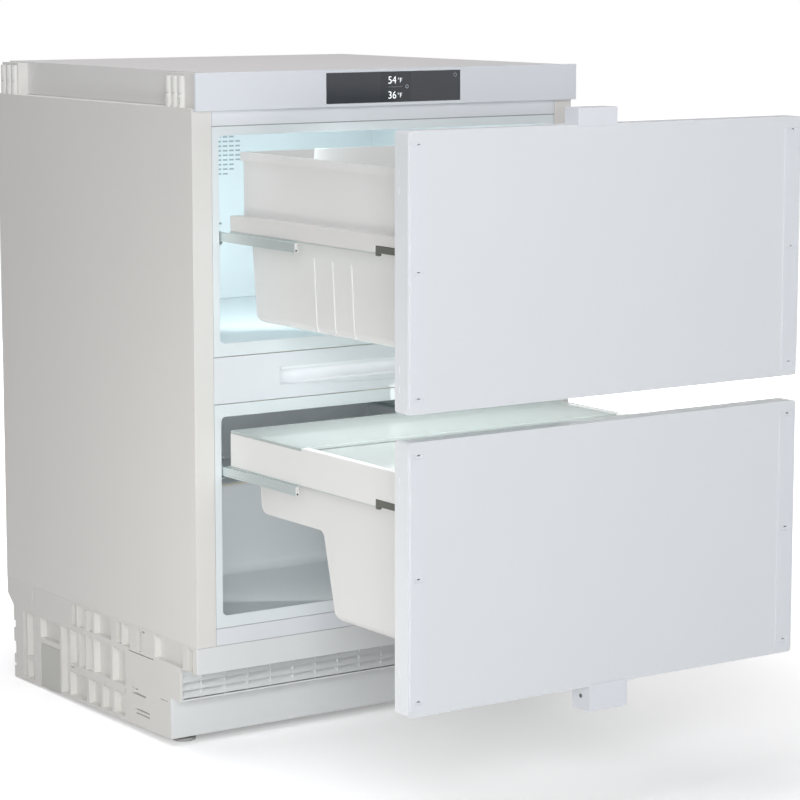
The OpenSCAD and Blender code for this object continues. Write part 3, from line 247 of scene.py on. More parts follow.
# %% Foam
CELL_SCALE = 480.0
CELL_HEIGHT = 0.8 * MM
TAPE_DEPTH = 6 * MM
foam = bpy.data.materials.new("foam")
foam.use_nodes = True
foam_tree = foam.node_tree
foam_shader = foam_tree.nodes["Principled BSDF"]
foam_cells = foam_tree.nodes.new("ShaderNodeTexVoronoi")
foam_cells.inputs["Scale"].default_value = CELL_SCALE
foam_place = foam_tree.nodes.new("ShaderNodeTexCoord")
foam_ramp = foam_tree.nodes.new("ShaderNodeValToRGB")
foam_ramp.color_ramp.elements[0].color = screen(242, 228, 176)
foam_ramp.color_ramp.elements[1].color = screen(214, 194, 138)
foam_bump = foam_tree.nodes.new("ShaderNodeBump")
foam_bump.inputs["Strength"].default_value = 0.4
foam_bump.inputs["Distance"].default_value = CELL_HEIGHT
foam_shader.inputs["Roughness"].default_value = 0.85
foam_tree.links.new(foam_place.outputs["Object"], foam_cells.inputs["Vector"])
foam_tree.links.new(foam_cells.outputs["Distance"], foam_ramp.inputs["Fac"])
foam_split = foam_tree.nodes.new("ShaderNodeSeparateXYZ")
foam_tree.links.new(foam_place.outputs["Object"], foam_split.inputs[0])
foam_edge = math_node(foam_tree, "LESS_THAN", foam_split.outputs[1], case_front + TAPE_DEPTH)
foam_tape = foam_tree.nodes.new("ShaderNodeMix")
foam_tape.data_type = "RGBA"
foam_tape.inputs[7].default_value = screen(150, 153, 152)
foam_tree.links.new(foam_edge, foam_tape.inputs[0])
foam_tree.links.new(foam_ramp.outputs["Color"], foam_tape.inputs[6])
foam_tree.links.new(foam_tape.outputs[2], foam_shader.inputs["Base Color"])
foam_tree.links.new(foam_cells.outputs["Distance"], foam_bump.inputs["Height"])
foam_tree.links.new(foam_bump.outputs[0], foam_shader.inputs["Normal"])
finishes["foam"] = foam
print("foam cells about", round(1000 / CELL_SCALE, 1), "mm")

# %% [markdown]
# The cover's panes are float glass, faintly green. They let most light straight through, so the white
# bin below them stays bright. The display is a dark glass that mirrors the room a little. Faint smears
# change the gloss of both.

# %% Glass and display
def glass_finish(name, colour, rough, alpha=1.0):
    """Smooth glass with faint smears. A low alpha lets the bin below it show."""
    material = bpy.data.materials.new(name)
    material.use_nodes = True
    tree = material.node_tree
    shader = tree.nodes["Principled BSDF"]
    shader.inputs["IOR"].default_value = 1.5
    shader.inputs["Alpha"].default_value = alpha
    group = tree.nodes.new("ShaderNodeGroup")
    group.node_tree = surface_group
    group.inputs["Colour"].default_value = colour
    group.inputs["Tone drift"].default_value = 0.02
    group.inputs["Roughness"].default_value = rough
    group.inputs["Roughness drift"].default_value = 0.03
    tree.links.new(group.outputs["Colour"], shader.inputs["Base Color"])
    tree.links.new(group.outputs["Roughness"], shader.inputs["Roughness"])
    finishes[name] = material


glass_finish("clear_glass", screen(221, 231, 229), 0.06, alpha=0.62)
glass_finish("display", screen(47, 52, 58), 0.14)
glass_finish("display_lit", screen(38, 43, 48), 0.14)
print("finishes with glass:", len(finishes))


# %% Materials that give light
def glow(name, colour, strength):
    """A faintly mottled light, as of characters on a display."""
    material = bpy.data.materials.new(name)
    material.use_nodes = True
    tree = material.node_tree
    shader = tree.nodes["Principled BSDF"]
    shader.inputs["Base Color"].default_value = colour
    shader.inputs["Emission Strength"].default_value = strength
    mottle = noise(tree, tree.nodes.new("ShaderNodeTexCoord").outputs["Object"], 300.0)
    ramp = tree.nodes.new("ShaderNodeValToRGB")
    ramp.color_ramp.elements[0].color = [0.94 * c for c in colour[:3]] + [1.0]
    ramp.color_ramp.elements[1].color = colour
    tree.links.new(mottle, ramp.inputs["Fac"])
    tree.links.new(ramp.outputs["Color"], shader.inputs["Emission Color"])
    finishes[name] = material


glow("digit_glow", screen(236, 241, 245), 0.85)
glow("line_glow", screen(120, 128, 134), 0.5)
print("finishes with light:", len(finishes))

# %% [markdown]
# Every CAD node first gets its own slot's finish. A sharp CAD edge catches no light, so each piece
# that shows is then replaced by a merged copy with narrow rounded edges. The copy keeps the place, the
# body and the slot of its node.

# %% Finish every CAD node
slot_of = {row["node"]: row["material_slot"] for row in record["subparts"]}
body_of = {n: body for body, members in record["behaviour"]["bodies"].items() for n in members}
for name, piece in nodes.items():
    piece.data.materials.clear()
    piece.data.materials.append(finishes[slot_of[name]])
print("slots in use:", sorted(set(slot_of.values())))


# %% A copy with rounded edges
def link(name, mesh, material):
    """An object in the scene, with one material."""
    piece = bpy.data.objects.new(name, mesh)
    bpy.context.scene.collection.objects.link(piece)
    mesh.materials.clear()
    mesh.materials.append(material)
    return piece


RIBBED_OR_SLOTTED = ("base_left", "base_right", "upper_bin", "machine_cover")
SAME_PLACE, SAME_PLANE = 1e-6, math.radians(0.6)


def merged_copy(node):
    """A CAD mesh with shared corners. Ribbed and slotted pieces keep their triangles, because they
    bevel more cleanly."""
    mesh = nodes[node].data.copy()
    work = bmesh.new()
    work.from_mesh(mesh)
    bmesh.ops.remove_doubles(work, verts=work.verts, dist=SAME_PLACE)
    if node not in RIBBED_OR_SLOTTED:
        bmesh.ops.dissolve_limit(work, angle_limit=SAME_PLANE, verts=work.verts, edges=work.edges)
    work.to_mesh(mesh)
    work.free()
    return mesh


def box_mesh(name, boxes):
    """One mesh of separate boxes, each given as its lowest and its highest corner."""
    work = bmesh.new()
    for low, high in boxes:
        size = [b - a for a, b in zip(low, high)]
        middle = [(a + b) / 2 for a, b in zip(low, high)]
        bmesh.ops.create_cube(work, size=1.0,
                              matrix=Matrix.Translation(middle) @ Matrix.Diagonal((*size, 1.0)))
    mesh = bpy.data.meshes.new(name)
    work.to_mesh(mesh)
    work.free()
    return mesh


def carved(mesh, boxes):
    """The mesh with boxes cut out of it."""
    block = bpy.data.objects.new("carved", mesh)
    tool = bpy.data.objects.new("carving_tool", box_mesh("carving_tool", boxes))
    for thing in (block, tool):
        bpy.context.scene.collection.objects.link(thing)
    cut = block.modifiers.new("cut", "BOOLEAN")
    cut.operation = "DIFFERENCE"
    cut.object = tool
    view = bpy.context.evaluated_depsgraph_get()
    result = bpy.data.meshes.new_from_object(block.evaluated_get(view))
    for thing in (block, tool):
        bpy.data.objects.remove(thing)
    return result


def soften(piece, width, segments=2, angle=35.0):
    """Rounds the edges, and keeps the shading of the large flat faces level up to them."""
    edge = piece.modifiers.new("soft_edges", "BEVEL")
    edge.width = width
    edge.segments = segments
    edge.limit_method = "ANGLE"
    edge.angle_limit = math.radians(angle)
    edge.miter_outer = "MITER_ARC"
    level = piece.modifiers.new("level_faces", "WEIGHTED_NORMAL")
    level.weight = 50
    level.keep_sharp = True
    piece.data.shade_smooth()
    return piece


# The drawer fronts' foam is closed by a white moulded sheet, so it shows that finish.
SHEETED = {"upper_front_core": "liner_plastic", "lower_front_core": "liner_plastic"}


def dress(node, width, cuts=()):
    """Replaces a CAD node by its copy with soft edges, after cutting small slots into it."""
    mesh = merged_copy(node)
    if cuts:
        mesh = carved(mesh, cuts)
    look = SHEETED.get(node, slot_of[node])
    piece = link("soft_" + node, mesh, finishes[look])
    if width:
        soften(piece, width)
    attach(piece, body_of[node])
    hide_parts(node)
    return piece


# %% [markdown]
# Some relief is too small for the CAD model. Each fixing strip has a clip slot round each of its three
# holes, and the narrow sides of the fronts have small slots near their ends.

# %% Slots
STRIP_W = 23 * MM
HOLE_INSET = 16.8 * MM
SLOT_W, SLOT_H, SLOT_D = 13 * MM, 4.6 * MM, 0.6 * MM
SIDE_SLOT_DEPTH, SIDE_SLOT_HALF_W, SIDE_SLOT_HALF_H = 0.6 * MM, 2 * MM, 4 * MM
BELOW_TOP, ABOVE_BOTTOM = (46 * MM, 68 * MM), (28 * MM, 50 * MM)


def hole_places(drawer):
    """Middles of the panel holes on a drawer's strips, on the strips' face."""
    low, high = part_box(drawer + "_strips")
    front_low, front_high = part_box(drawer + "_front")
    middle = (front_low[2] + front_high[2]) / 2
    reach = (front_high[2] - front_low[2]) / 2 - HOLE_INSET
    x = high[0] - STRIP_W / 2
    return [(side * x, low[1], middle + step * reach) for side in (-1, 1) for step in (-1, 0, 1)]


def clip_slots(drawer):
    """Boxes that cut the slots round the holes."""
    return [((x - SLOT_W / 2, y - MM, z - SLOT_H / 2), (x + SLOT_W / 2, y + SLOT_D, z + SLOT_H / 2))
            for x, y, z in hole_places(drawer)]


def side_slots(drawer):
    """Boxes that cut the small slots into the narrow sides of a front."""
    low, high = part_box(drawer + "_front")
    middle_y = low[1] + 0.6 * (high[1] - low[1])
    heights = [high[2] - down for down in BELOW_TOP] + [low[2] + up for up in ABOVE_BOTTOM]
    slots = []
    for z in heights:
        for x in (low[0], high[0]):
            slots.append(((x - SIDE_SLOT_DEPTH, middle_y - SIDE_SLOT_HALF_W, z - SIDE_SLOT_HALF_H),
                          (x + SIDE_SLOT_DEPTH, middle_y + SIDE_SLOT_HALF_W, z + SIDE_SLOT_HALF_H)))
    return slots


cuts = {}
for drawer in ("upper", "lower"):
    cuts[drawer + "_strips"] = clip_slots(drawer)
    cuts[drawer + "_front"] = side_slots(drawer)
print("slots:", {node: len(boxes) for node, boxes in cuts.items()})

# %% [markdown]
# The side mouldings of the base and the corner blocks have small openings for clips and tools, which
# read as dark marks. They are cut here, as [start, end, lower, upper, depth] on the outer face, with
# the start and the end measured back from the front frame. A grey cover sits in a shallow recess.

# %% Marks in the base and in the corner blocks
BASE_MARKS = [
    (115, 185, 106.2, 107.6, 6), (138, 147, 138.0, 140.6, 8), (301, 307, 138.0, 140.6, 8),
    (346.5, 349.5, 51.4, 58, 6), (336, 349.5, 49.8, 51.2, 6), (158, 166, 56.8, 58.4, 6),
    (170.5, 174, 57.2, 59.2, 6), (138, 173, 50.3, 52.2, 6), (128, 165, 29.8, 31.2, 6),
    (128, 165, 24.3, 25.7, 6), (191, 195, 45.6, 51.7, 6), (78, 98, 57.8, 58.8, 2),
    (456.5, 462, 112, 140, 8), (380, 439, 4.5, 67, 1.5),
]
BLOCK_MARKS = [(y, y + 6.4, 839.5, 847, 4) for y in (30.6, 46.2, 61.8)]
BLOCK_MARKS += [(2, 10, 872, 874, 4), (2, 10, 864, 866, 4), (0, 540, 852.4, 853.3, 1.8)]


def side_boxes(rows, side, outer, under=-1.0):
    """Boxes at an outer face, on the left with side -1 and on the right with side 1. They begin so
    many millimetres under the face, or above it when that is negative, and reach down to their depth."""
    boxes = []
    for start, end, lower, upper, depth in rows:
        x = sorted((side * (outer - depth * MM), side * (outer - under * MM)))
        boxes.append(((x[0], case_front + start * MM, lower * MM),
                      (x[1], case_front + end * MM, upper * MM)))
    return boxes


cuts["base_left"] = side_boxes(BASE_MARKS, -1, half_w)
cuts["base_right"] = side_boxes(BASE_MARKS, 1, half_w)
block_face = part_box("corner_blocks")[1][0]
cuts["corner_blocks"] = [box for side in (-1, 1) for box in side_boxes(BLOCK_MARKS, side, block_face)]
print("marks:", len(BASE_MARKS), "on each base side,", len(BLOCK_MARKS), "on the blocks of each side")

# %% [markdown]
# Moulded plastic and folded steel have edges about half a millimetre round, and the soft seals and
# lugs a little over one. Grille bars, rails and thin panels have finer ones. The duct cover keeps its
# sharp CAD edges, because the slots of its round grille are many and small.

# %% Edge widths in millimetres
edge_widths = {
    "left_side_panel": 0.45, "right_side_panel": 0.45, "top_cover": 0.55, "back_panel": 0.4,
    "top_trim": 0.5, "middle_trim": 0.5, "bottom_trim": 0.5, "upper_liner": 0.6, "lower_liner": 0.6,
    "fascia": 0.6, "display_glass": 0.3, "corner_blocks": 0.5, "base_left": 0.5, "base_right": 0.5,
    "base_pan": 0.5, "air_grille": 0.3, "plinth_panel": 0.5, "machine_cover": 0.2, "power_inlet": 0.4,
    "duct_cover": 0.0, "fixed_rails": 0.25, "rail_stops": 0.2, "upper_middle_rails": 0.2,
    "lower_middle_rails": 0.2, "upper_drawer_rails": 0.3, "lower_drawer_rails": 0.3,
    "upper_carriers": 0.8, "lower_carriers": 0.8, "upper_latches": 0.8, "lower_latches": 0.8,
    "upper_bin": 0.8, "lower_bin": 0.7, "rear_glass": 0.6, "front_glass": 0.6, "upper_gasket": 1.2,
    "lower_gasket": 1.2, "upper_lug": 1.2, "lower_lug": 1.2, "upper_front": 0.4, "lower_front": 0.4,
    "upper_front_core": 0.5, "lower_front_core": 0.5, "upper_strips": 0.3, "lower_strips": 0.3,
    "machine_tray": 0.4, "front_left_foot": 0.6, "front_right_foot": 0.6, "rear_left_foot": 0.6,
    "rear_right_foot": 0.6,
}
dressed = {node: dress(node, width * MM, cuts.get(node, ())) for node, width in edge_widths.items()}
print("softened pieces:", len(dressed))


# %% A new small piece
def add(name, mesh, look, body, width=0.0):
    """Places a finished mesh on a CAD body, with a finish and the slot that it is painted from."""
    piece = link(name, mesh, finishes[look])
    if width:
        soften(piece, width)
    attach(piece, body)
    return piece


# %% Covers in the base's recesses, and the hooks under its front corners
BASE_COVER = [(380.6, 438.4, 5, 66.4, 1.4)]
BASE_HOOK = [(42, 76, 105.6, 107.4, 2.4), (71, 76, 107.2, 109.8, 2.4)]
covers = [box for side in (-1, 1) for box in side_boxes(BASE_COVER, side, half_w, under=0.3)]
hooks = [box for side in (-1, 1) for box in side_boxes(BASE_HOOK, side, half_w, under=0.4)]
add("base_covers", box_mesh("base_covers", covers), "cover_grey", "cabinet", 0.4 * MM)
add("base_hooks", box_mesh("base_hooks", hooks), "base_plastic", "cabinet", 0.3 * MM)
print("covers and hooks:", len(covers), len(hooks))

# %% [markdown]
# Fixings repeat, so Geometry Nodes sets them out. The tree puts the same small stamp on every point of
# a mesh, turned the way its fixings face. The points come from the frame, and the stamps are made real
# before they go on their body.

# %% The tree that sets out fixings
ROLL_SEED = 7


def build_fixing_tree():
    """Instances a stamp on points, turns each one, and makes them all real."""
    tree = bpy.data.node_groups.new("set_out_fixings", "GeometryNodeTree")
    face = tree.interface
    face.new_socket("Points", in_out="INPUT", socket_type="NodeSocketGeometry")
    face.new_socket("Stamp", in_out="INPUT", socket_type="NodeSocketObject")
    face.new_socket("Turn", in_out="INPUT", socket_type="NodeSocketVector")
    face.new_socket("Roll drift", in_out="INPUT", socket_type="NodeSocketFloat")
    face.new_socket("Finish", in_out="INPUT", socket_type="NodeSocketMaterial")
    face.new_socket("Fixings", in_out="OUTPUT", socket_type="NodeSocketGeometry")
    entry = tree.nodes.new("NodeGroupInput")
    leave = tree.nodes.new("NodeGroupOutput")
    stamp = tree.nodes.new("GeometryNodeObjectInfo")
    tree.links.new(entry.outputs["Stamp"], stamp.inputs["Object"])
    place = tree.nodes.new("GeometryNodeInstanceOnPoints")
    tree.links.new(entry.outputs["Points"], place.inputs["Points"])
    tree.links.new(stamp.outputs["Geometry"], place.inputs["Instance"])
    tree.links.new(entry.outputs["Turn"], place.inputs["Rotation"])
    roll = tree.nodes.new("FunctionNodeRandomValue")
    roll.data_type = "FLOAT"
    roll.inputs["Seed"].default_value = ROLL_SEED
    spin = tree.nodes.new("ShaderNodeCombineXYZ")
    swing = tree.nodes.new("ShaderNodeMath")
    swing.operation = "MULTIPLY"
    tree.links.new(roll.outputs[1], swing.inputs[0])
    tree.links.new(entry.outputs["Roll drift"], swing.inputs[1])
    tree.links.new(swing.outputs[0], spin.inputs[2])
    turn = tree.nodes.new("GeometryNodeRotateInstances")
    tree.links.new(place.outputs["Instances"], turn.inputs["Instances"])
    tree.links.new(spin.outputs[0], turn.inputs["Rotation"])
    real = tree.nodes.new("GeometryNodeRealizeInstances")
    tree.links.new(turn.outputs["Instances"], real.inputs["Geometry"])
    paint = tree.nodes.new("GeometryNodeSetMaterial")
    tree.links.new(real.outputs["Geometry"], paint.inputs["Geometry"])
    tree.links.new(entry.outputs["Finish"], paint.inputs["Material"])
    tree.links.new(paint.outputs["Geometry"], leave.inputs["Fixings"])
    return tree


fixing_tree = build_fixing_tree()
socket_id = {item.name: item.identifier for item in fixing_tree.interface.items_tree}
print("fixing tree nodes:", len(fixing_tree.nodes))


# %% Setting out and baking
def set_out(name, points, stamp, turn, look, body, roll=0.0):
    """Bakes one stamp per point into one mesh and puts it on a body."""
    cloud = bpy.data.meshes.new(name + "_points")
    cloud.from_pydata([tuple(p) for p in points], [], [])
    carrier = bpy.data.objects.new(name + "_points", cloud)
    bpy.context.scene.collection.objects.link(carrier)
    step = carrier.modifiers.new("fixings", "NODES")
    step.node_group = fixing_tree
    step[socket_id["Stamp"]] = stamp
    step[socket_id["Turn"]] = turn
    step[socket_id["Roll drift"]] = roll
    step[socket_id["Finish"]] = finishes[look]
    view = bpy.context.evaluated_depsgraph_get()
    mesh = bpy.data.meshes.new_from_object(carrier.evaluated_get(view))
    bpy.data.objects.remove(carrier)
    return add(name, mesh, look, body)


def baked(piece):
    """The mesh of an object with its modifiers, and the object gone."""
    view = bpy.context.evaluated_depsgraph_get()
    mesh = bpy.data.meshes.new_from_object(piece.evaluated_get(view))
    bpy.data.objects.remove(piece)
    return mesh


# %% Stamps: a cross-head screw and a clip
def cylinder_mesh(name, radius, height, sides=32):
    """A cylinder from z = 0 upwards."""
    work = bmesh.new()
    bmesh.ops.create_cone(work, cap_ends=True, segments=sides, radius1=radius, radius2=radius, depth=height,
                          matrix=Matrix.Translation((0, 0, height / 2)))
    mesh = bpy.data.meshes.new(name)
    work.to_mesh(mesh)
    work.free()
    return mesh


def screw_stamp(radius, height):
    """A screw's head, standing on z = 0 and facing +Z, with a cross cut into it."""
    arm, half_slot, deep = 0.55 * radius, 0.14 * radius, 0.5 * height
    cross = [((-arm, -half_slot, height - deep), (arm, half_slot, height + MM)),
             ((-half_slot, -arm, height - deep), (half_slot, arm, height + MM))]
    head = cylinder_mesh("screw_head", radius, height)
    for box in cross:
        head = carved(head, [box])
    stamp = link("screw_stamp", head, finishes["tray_steel"])
    soften(stamp, 0.12 * height)
    mesh = baked(stamp)
    return link("screw_stamp", mesh, finishes["tray_steel"])


def clip_stamp():
    """A clip that lies in its slot and leaves a gap above it and at one end."""
    body = ((-0.46 * SLOT_W, -0.46 * SLOT_H, 0.0), (0.32 * SLOT_W, 0.2 * SLOT_H, 0.85 * SLOT_D))
    stamp = link("clip_stamp", box_mesh("clip", [body]), finishes["trim_plastic"])
    soften(stamp, 0.3 * MM)
    mesh = baked(stamp)
    return link("clip_stamp", mesh, finishes["trim_plastic"])


TO_FRONT = (math.radians(90), 0.0, 0.0)
TO_REAR = (math.radians(-90), 0.0, 0.0)
TO_LEFT = (0.0, math.radians(-90), 0.0)
panel_screw = screw_stamp(3.6 * MM, 0.8 * MM)
small_screw = screw_stamp(2.6 * MM, 0.6 * MM)
clip = clip_stamp()
print("stamps:", panel_screw.name, small_screw.name, clip.name)

# %% Clips in the strips
SUNK = 0.05 * MM
for drawer in ("upper", "lower"):
    points = [(x, y + SLOT_D - SUNK, z) for x, y, z in hole_places(drawer)]
    set_out(drawer + "_clips", points, clip, TO_FRONT, "trim_plastic", drawer + "_drawer")
print("clips on each drawer:", len(points))


# %% Screws of the machine cover, the duct cover and one lug
def border(low, high, inset, count_x, count_z):
    """Points along the four edges of an upright panel, the corners included."""
    x0, x1, z0, z1 = low[0] + inset, high[0] - inset, low[2] + inset, high[2] - inset
    points = [(x0 + (x1 - x0) * i / (count_x - 1), z) for i in range(count_x) for z in (z0, z1)]
    points += [(x, z0 + (z1 - z0) * i / (count_z - 1)) for i in range(1, count_z - 1) for x in (x0, x1)]
    return points


RIM_OF_INLET = 1.6 * MM
FREE_ROLL = 3.0
cover_low, cover_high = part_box("machine_cover")
cover_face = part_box("power_inlet")[1][1] - RIM_OF_INLET
cover_points = [(x, cover_face, z) for x, z in border(cover_low, cover_high, 9 * MM, 5, 3)]
set_out("machine_cover_screws", cover_points, panel_screw, TO_REAR, "tray_steel", "cabinet",
        roll=FREE_ROLL)
duct_low, duct_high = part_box("duct_cover")
duct_points = [(x, duct_low[1], z) for x, z in border(duct_low, duct_high, 14 * MM, 3, 2)]
set_out("duct_cover_screws", duct_points, small_screw, TO_FRONT, "liner_plastic", "cabinet",
        roll=FREE_ROLL)
lug_low, lug_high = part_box("lower_lug")
lug_point = (lug_low[0], lug_low[1] + 0.5 * (lug_high[1] - lug_low[1]), (lug_low[2] + lug_high[2]) / 2)
set_out("lug_screw", [lug_point], small_screw, TO_LEFT, "grey_plastic", "lower_drawer")
for stamp in (panel_screw, small_screw, clip):
    bpy.data.objects.remove(stamp)
print("screws:", len(cover_points), "on the machine cover,", len(duct_points), "on the duct cover")

# %% [markdown]
# A thin pale disc lies behind the round air grille. Its colour is painted light, which makes the
# slots read mid-grey, as light seen through them, instead of black.

# %% Painted light behind the air grille
SLOT_LIGHT_R, SLOT_LIGHT_T, SLOT_LIGHT_BEHIND = 42 * MM, 0.5 * MM, 0.9 * MM
fan_low, fan_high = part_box("evaporator_fan")
slot_light_disc = cylinder_mesh("air_screen", SLOT_LIGHT_R, SLOT_LIGHT_T)
slot_light_place = Vector(((fan_low[0] + fan_high[0]) / 2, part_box("duct_cover")[0][1] + SLOT_LIGHT_BEHIND,
                       (fan_low[2] + fan_high[2]) / 2))
slot_light_disc.transform(Matrix.Translation(slot_light_place) @ Matrix.Rotation(-math.pi / 2, 4, "X"))
add("air_screen", slot_light_disc, "air_screen", "cabinet")
print("painted slot light at", tuple(round(v, 3) for v in slot_light_place))

# %% [markdown]
# The display shows two plain temperatures on a slightly darker field, with a fine line between them, a
# small ring beside them and a switch mark at the right. The characters are text turned into thin
# solids. They lie just on the glass.

# %% Characters, rings and joined meshes
glass_low, glass_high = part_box("display_glass")
glass_face = glass_low[1]
glass_mid_z = (glass_low[2] + glass_high[2]) / 2
ON_GLASS = glass_face - 0.06 * MM
CAP_SHARE = 0.7


def characters(text, x, z, height):
    """Text as a mesh on the display, from x to the right and from z upwards."""
    curve = bpy.data.curves.new("characters", "FONT")
    curve.body = text
    curve.size = height / CAP_SHARE
    curve.offset = -0.007 * height
    curve.extrude = 0.03 * MM
    source = bpy.data.objects.new("characters", curve)
    bpy.context.scene.collection.objects.link(source)
    mesh = baked(source)
    mesh.transform(Matrix.Translation((x, ON_GLASS, z)) @ Matrix.Rotation(math.pi / 2, 4, "X"))
    return mesh


def flat_ring(x, z, radius, width, sweep=360.0, sides=24):
    """A thin ring, or a part of one, on the display."""
    work = bmesh.new()
    rims = []
    for i in range(sides + (sweep < 360.0)):
        a = math.radians(90 + (360 - sweep) / 2) + math.radians(sweep) * i / sides
        rims.append([work.verts.new((x + r * math.cos(a), ON_GLASS, z + r * math.sin(a)))
                     for r in (radius - width, radius)])
    for i in range(sides):
        a, b = rims[i], rims[(i + 1) % len(rims)]
        work.faces.new((a[0], a[1], b[1], b[0]))
    bmesh.ops.recalc_face_normals(work, faces=work.faces)
    mesh = bpy.data.meshes.new("ring")
    work.to_mesh(mesh)
    work.free()
    return mesh


def joined(name, meshes):
    """One mesh made of several, which are then removed."""
    work = bmesh.new()
    for mesh in meshes:
        work.from_mesh(mesh)
        bpy.data.meshes.remove(mesh)
    mesh = bpy.data.meshes.new(name)
    work.to_mesh(mesh)
    work.free()
    return mesh


# %% Temperatures
DIGIT_H, UNIT_SHARE, UNIT_UP = 9.6 * MM, 0.62, 1.2 * MM
digit_x, unit_x = -10.5 * MM, 4.6 * MM
upper_line, lower_line = glass_mid_z + 4.2 * MM, glass_mid_z - 15.2 * MM
digits = [characters("54", digit_x, upper_line, DIGIT_H), characters("36", digit_x, lower_line, DIGIT_H)]
digits += [characters("\u00b0F", unit_x, line + UNIT_UP, UNIT_SHARE * DIGIT_H)
           for line in (upper_line, lower_line)]
add("display_digits", joined("display_digits", digits), "digit_glow", "cabinet")
print("digits:", round(DIGIT_H / MM, 1), "mm high")

# %% The darker field and the marks
FIELD_X, FIELD_INSET = (-22 * MM, 26 * MM), 0.4 * MM
field = box_mesh("display_field", [((FIELD_X[0], glass_face - 0.02 * MM, glass_low[2] + FIELD_INSET),
                                    (FIELD_X[1], glass_face + 0.2 * MM, glass_high[2] - FIELD_INSET))])
add("display_field", field, "display_lit", "cabinet")
mark_front, mark_back = glass_face - 0.08 * MM, glass_face - 0.04 * MM
ring_x, switch_x, switch_z = 19.7 * MM, 96.5 * MM, glass_high[2] - 5.8 * MM
stroke = ((switch_x - 0.4 * MM, mark_front, switch_z + 0.4 * MM),
          (switch_x + 0.4 * MM, mark_back, switch_z + 3.6 * MM))
divider = ((-10 * MM, mark_front, glass_mid_z - 0.3 * MM), (12 * MM, mark_back, glass_mid_z + 0.1 * MM))
marks = [flat_ring(ring_x, glass_mid_z, 2.6 * MM, 1.1 * MM),
         flat_ring(switch_x, switch_z, 2.7 * MM, 0.7 * MM, 290.0),
         box_mesh("marks", [stroke, divider])]
add("display_marks", joined("display_marks", marks), "line_glow", "cabinet")
print("switch mark at", round(switch_x / MM, 1), "mm to the right of the middle")

# %% [markdown]
# The middle rails end in pale plastic caps with a small dark pin. They run inside the fixed rails when
# the drawers close, so they keep to the rail's own section.

# %% Rail caps
CAP_L, CAP_T, CAP_INSET = 1.4 * MM, 4.0 * MM, 0.3 * MM
PIN_AT, PIN_W, PIN_OUT = 0.4 * MM, 2.0 * MM, 0.5 * MM
for drawer in ("upper", "lower"):
    low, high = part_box(drawer + "_middle_rails")
    sides = [(low[0], low[0] + CAP_T), (high[0] - CAP_T, high[0])]
    caps = [((x[0], low[1] - CAP_L, low[2] + CAP_INSET), (x[1], low[1] - 0.02 * MM, high[2] - CAP_INSET))
            for x in sides]
    add(drawer + "_rail_caps", box_mesh("rail_caps", caps), "carrier_plastic", drawer + "_middle_rail_pair",
        0.3 * MM)
    pins = [((x[0] + PIN_AT, low[1] - CAP_L - PIN_OUT, low[2] + 1.6 * MM),
             (x[0] + PIN_AT + PIN_W, low[1] - CAP_L + 0.2 * MM, low[2] + 1.6 * MM + PIN_W)) for x in sides]
    add(drawer + "_rail_pins", box_mesh("rail_pins", pins), "black_plastic", drawer + "_middle_rail_pair")
print("rail caps:", round(CAP_L / MM, 1), "mm long")

# %% [markdown]
# The floor is a wide pale plane. It has to keep the soft shadow under the drawers while the rest of it
# reads as white, so camera rays see a little extra light on it, and more of it further out. The world
# is white behind it for camera rays and through the glass, and about half as bright in reflections.

# %% Floor
FLOOR_HALF = 14.0
FLOOR_TONE, FLOOR_GAIN = 0.86, 0.26
FADE = {"From Min": 0.6, "From Max": 1.7, "To Min": 0.27, "To Max": 1.0}
floor_mesh = bpy.data.meshes.new("studio_floor")
floor_corners = [(x * FLOOR_HALF, y * FLOOR_HALF, 0) for x, y in ((-1, -1), (1, -1), (1, 1), (-1, 1))]
floor_mesh.from_pydata(floor_corners, [], [(0, 1, 2, 3)])
floor_material = bpy.data.materials.new("studio_floor")
floor_material.use_nodes = True
floor_tree = floor_material.node_tree
floor_tree.nodes.clear()
floor_out = floor_tree.nodes.new("ShaderNodeOutputMaterial")
floor_matte = floor_tree.nodes.new("ShaderNodeBsdfDiffuse")
floor_lift = floor_tree.nodes.new("ShaderNodeEmission")
floor_add = floor_tree.nodes.new("ShaderNodeAddShader")
floor_path = floor_tree.nodes.new("ShaderNodeLightPath")
floor_place = floor_tree.nodes.new("ShaderNodeTexCoord").outputs["Object"]
floor_reach = floor_tree.nodes.new("ShaderNodeVectorMath")
floor_reach.operation = "LENGTH"
floor_tree.links.new(floor_place, floor_reach.inputs[0])
floor_fade = floor_tree.nodes.new("ShaderNodeMapRange")
for socket, value in FADE.items():
    floor_fade.inputs[socket].default_value = value
floor_tree.links.new(floor_reach.outputs["Value"], floor_fade.inputs["Value"])
floor_strength = math_node(floor_tree, "MULTIPLY", floor_path.outputs["Is Camera Ray"],
                           floor_fade.outputs["Result"])
floor_gain = math_node(floor_tree, "MULTIPLY", floor_path.outputs["Is Camera Ray"], FLOOR_GAIN)
floor_tone = math_node(floor_tree, "ADD", floor_gain, FLOOR_TONE)
floor_tree.links.new(floor_tone, floor_matte.inputs["Color"])
floor_tree.links.new(floor_strength, floor_lift.inputs["Strength"])
floor_tree.links.new(floor_matte.outputs[0], floor_add.inputs[0])
floor_tree.links.new(floor_lift.outputs[0], floor_add.inputs[1])
floor_tree.links.new(floor_add.outputs[0], floor_out.inputs["Surface"])
studio_floor = bpy.data.objects.new("studio_floor", floor_mesh)
floor_mesh.materials.append(floor_material)
bpy.context.scene.collection.objects.link(studio_floor)
print("floor:", 2 * FLOOR_HALF, "m wide")

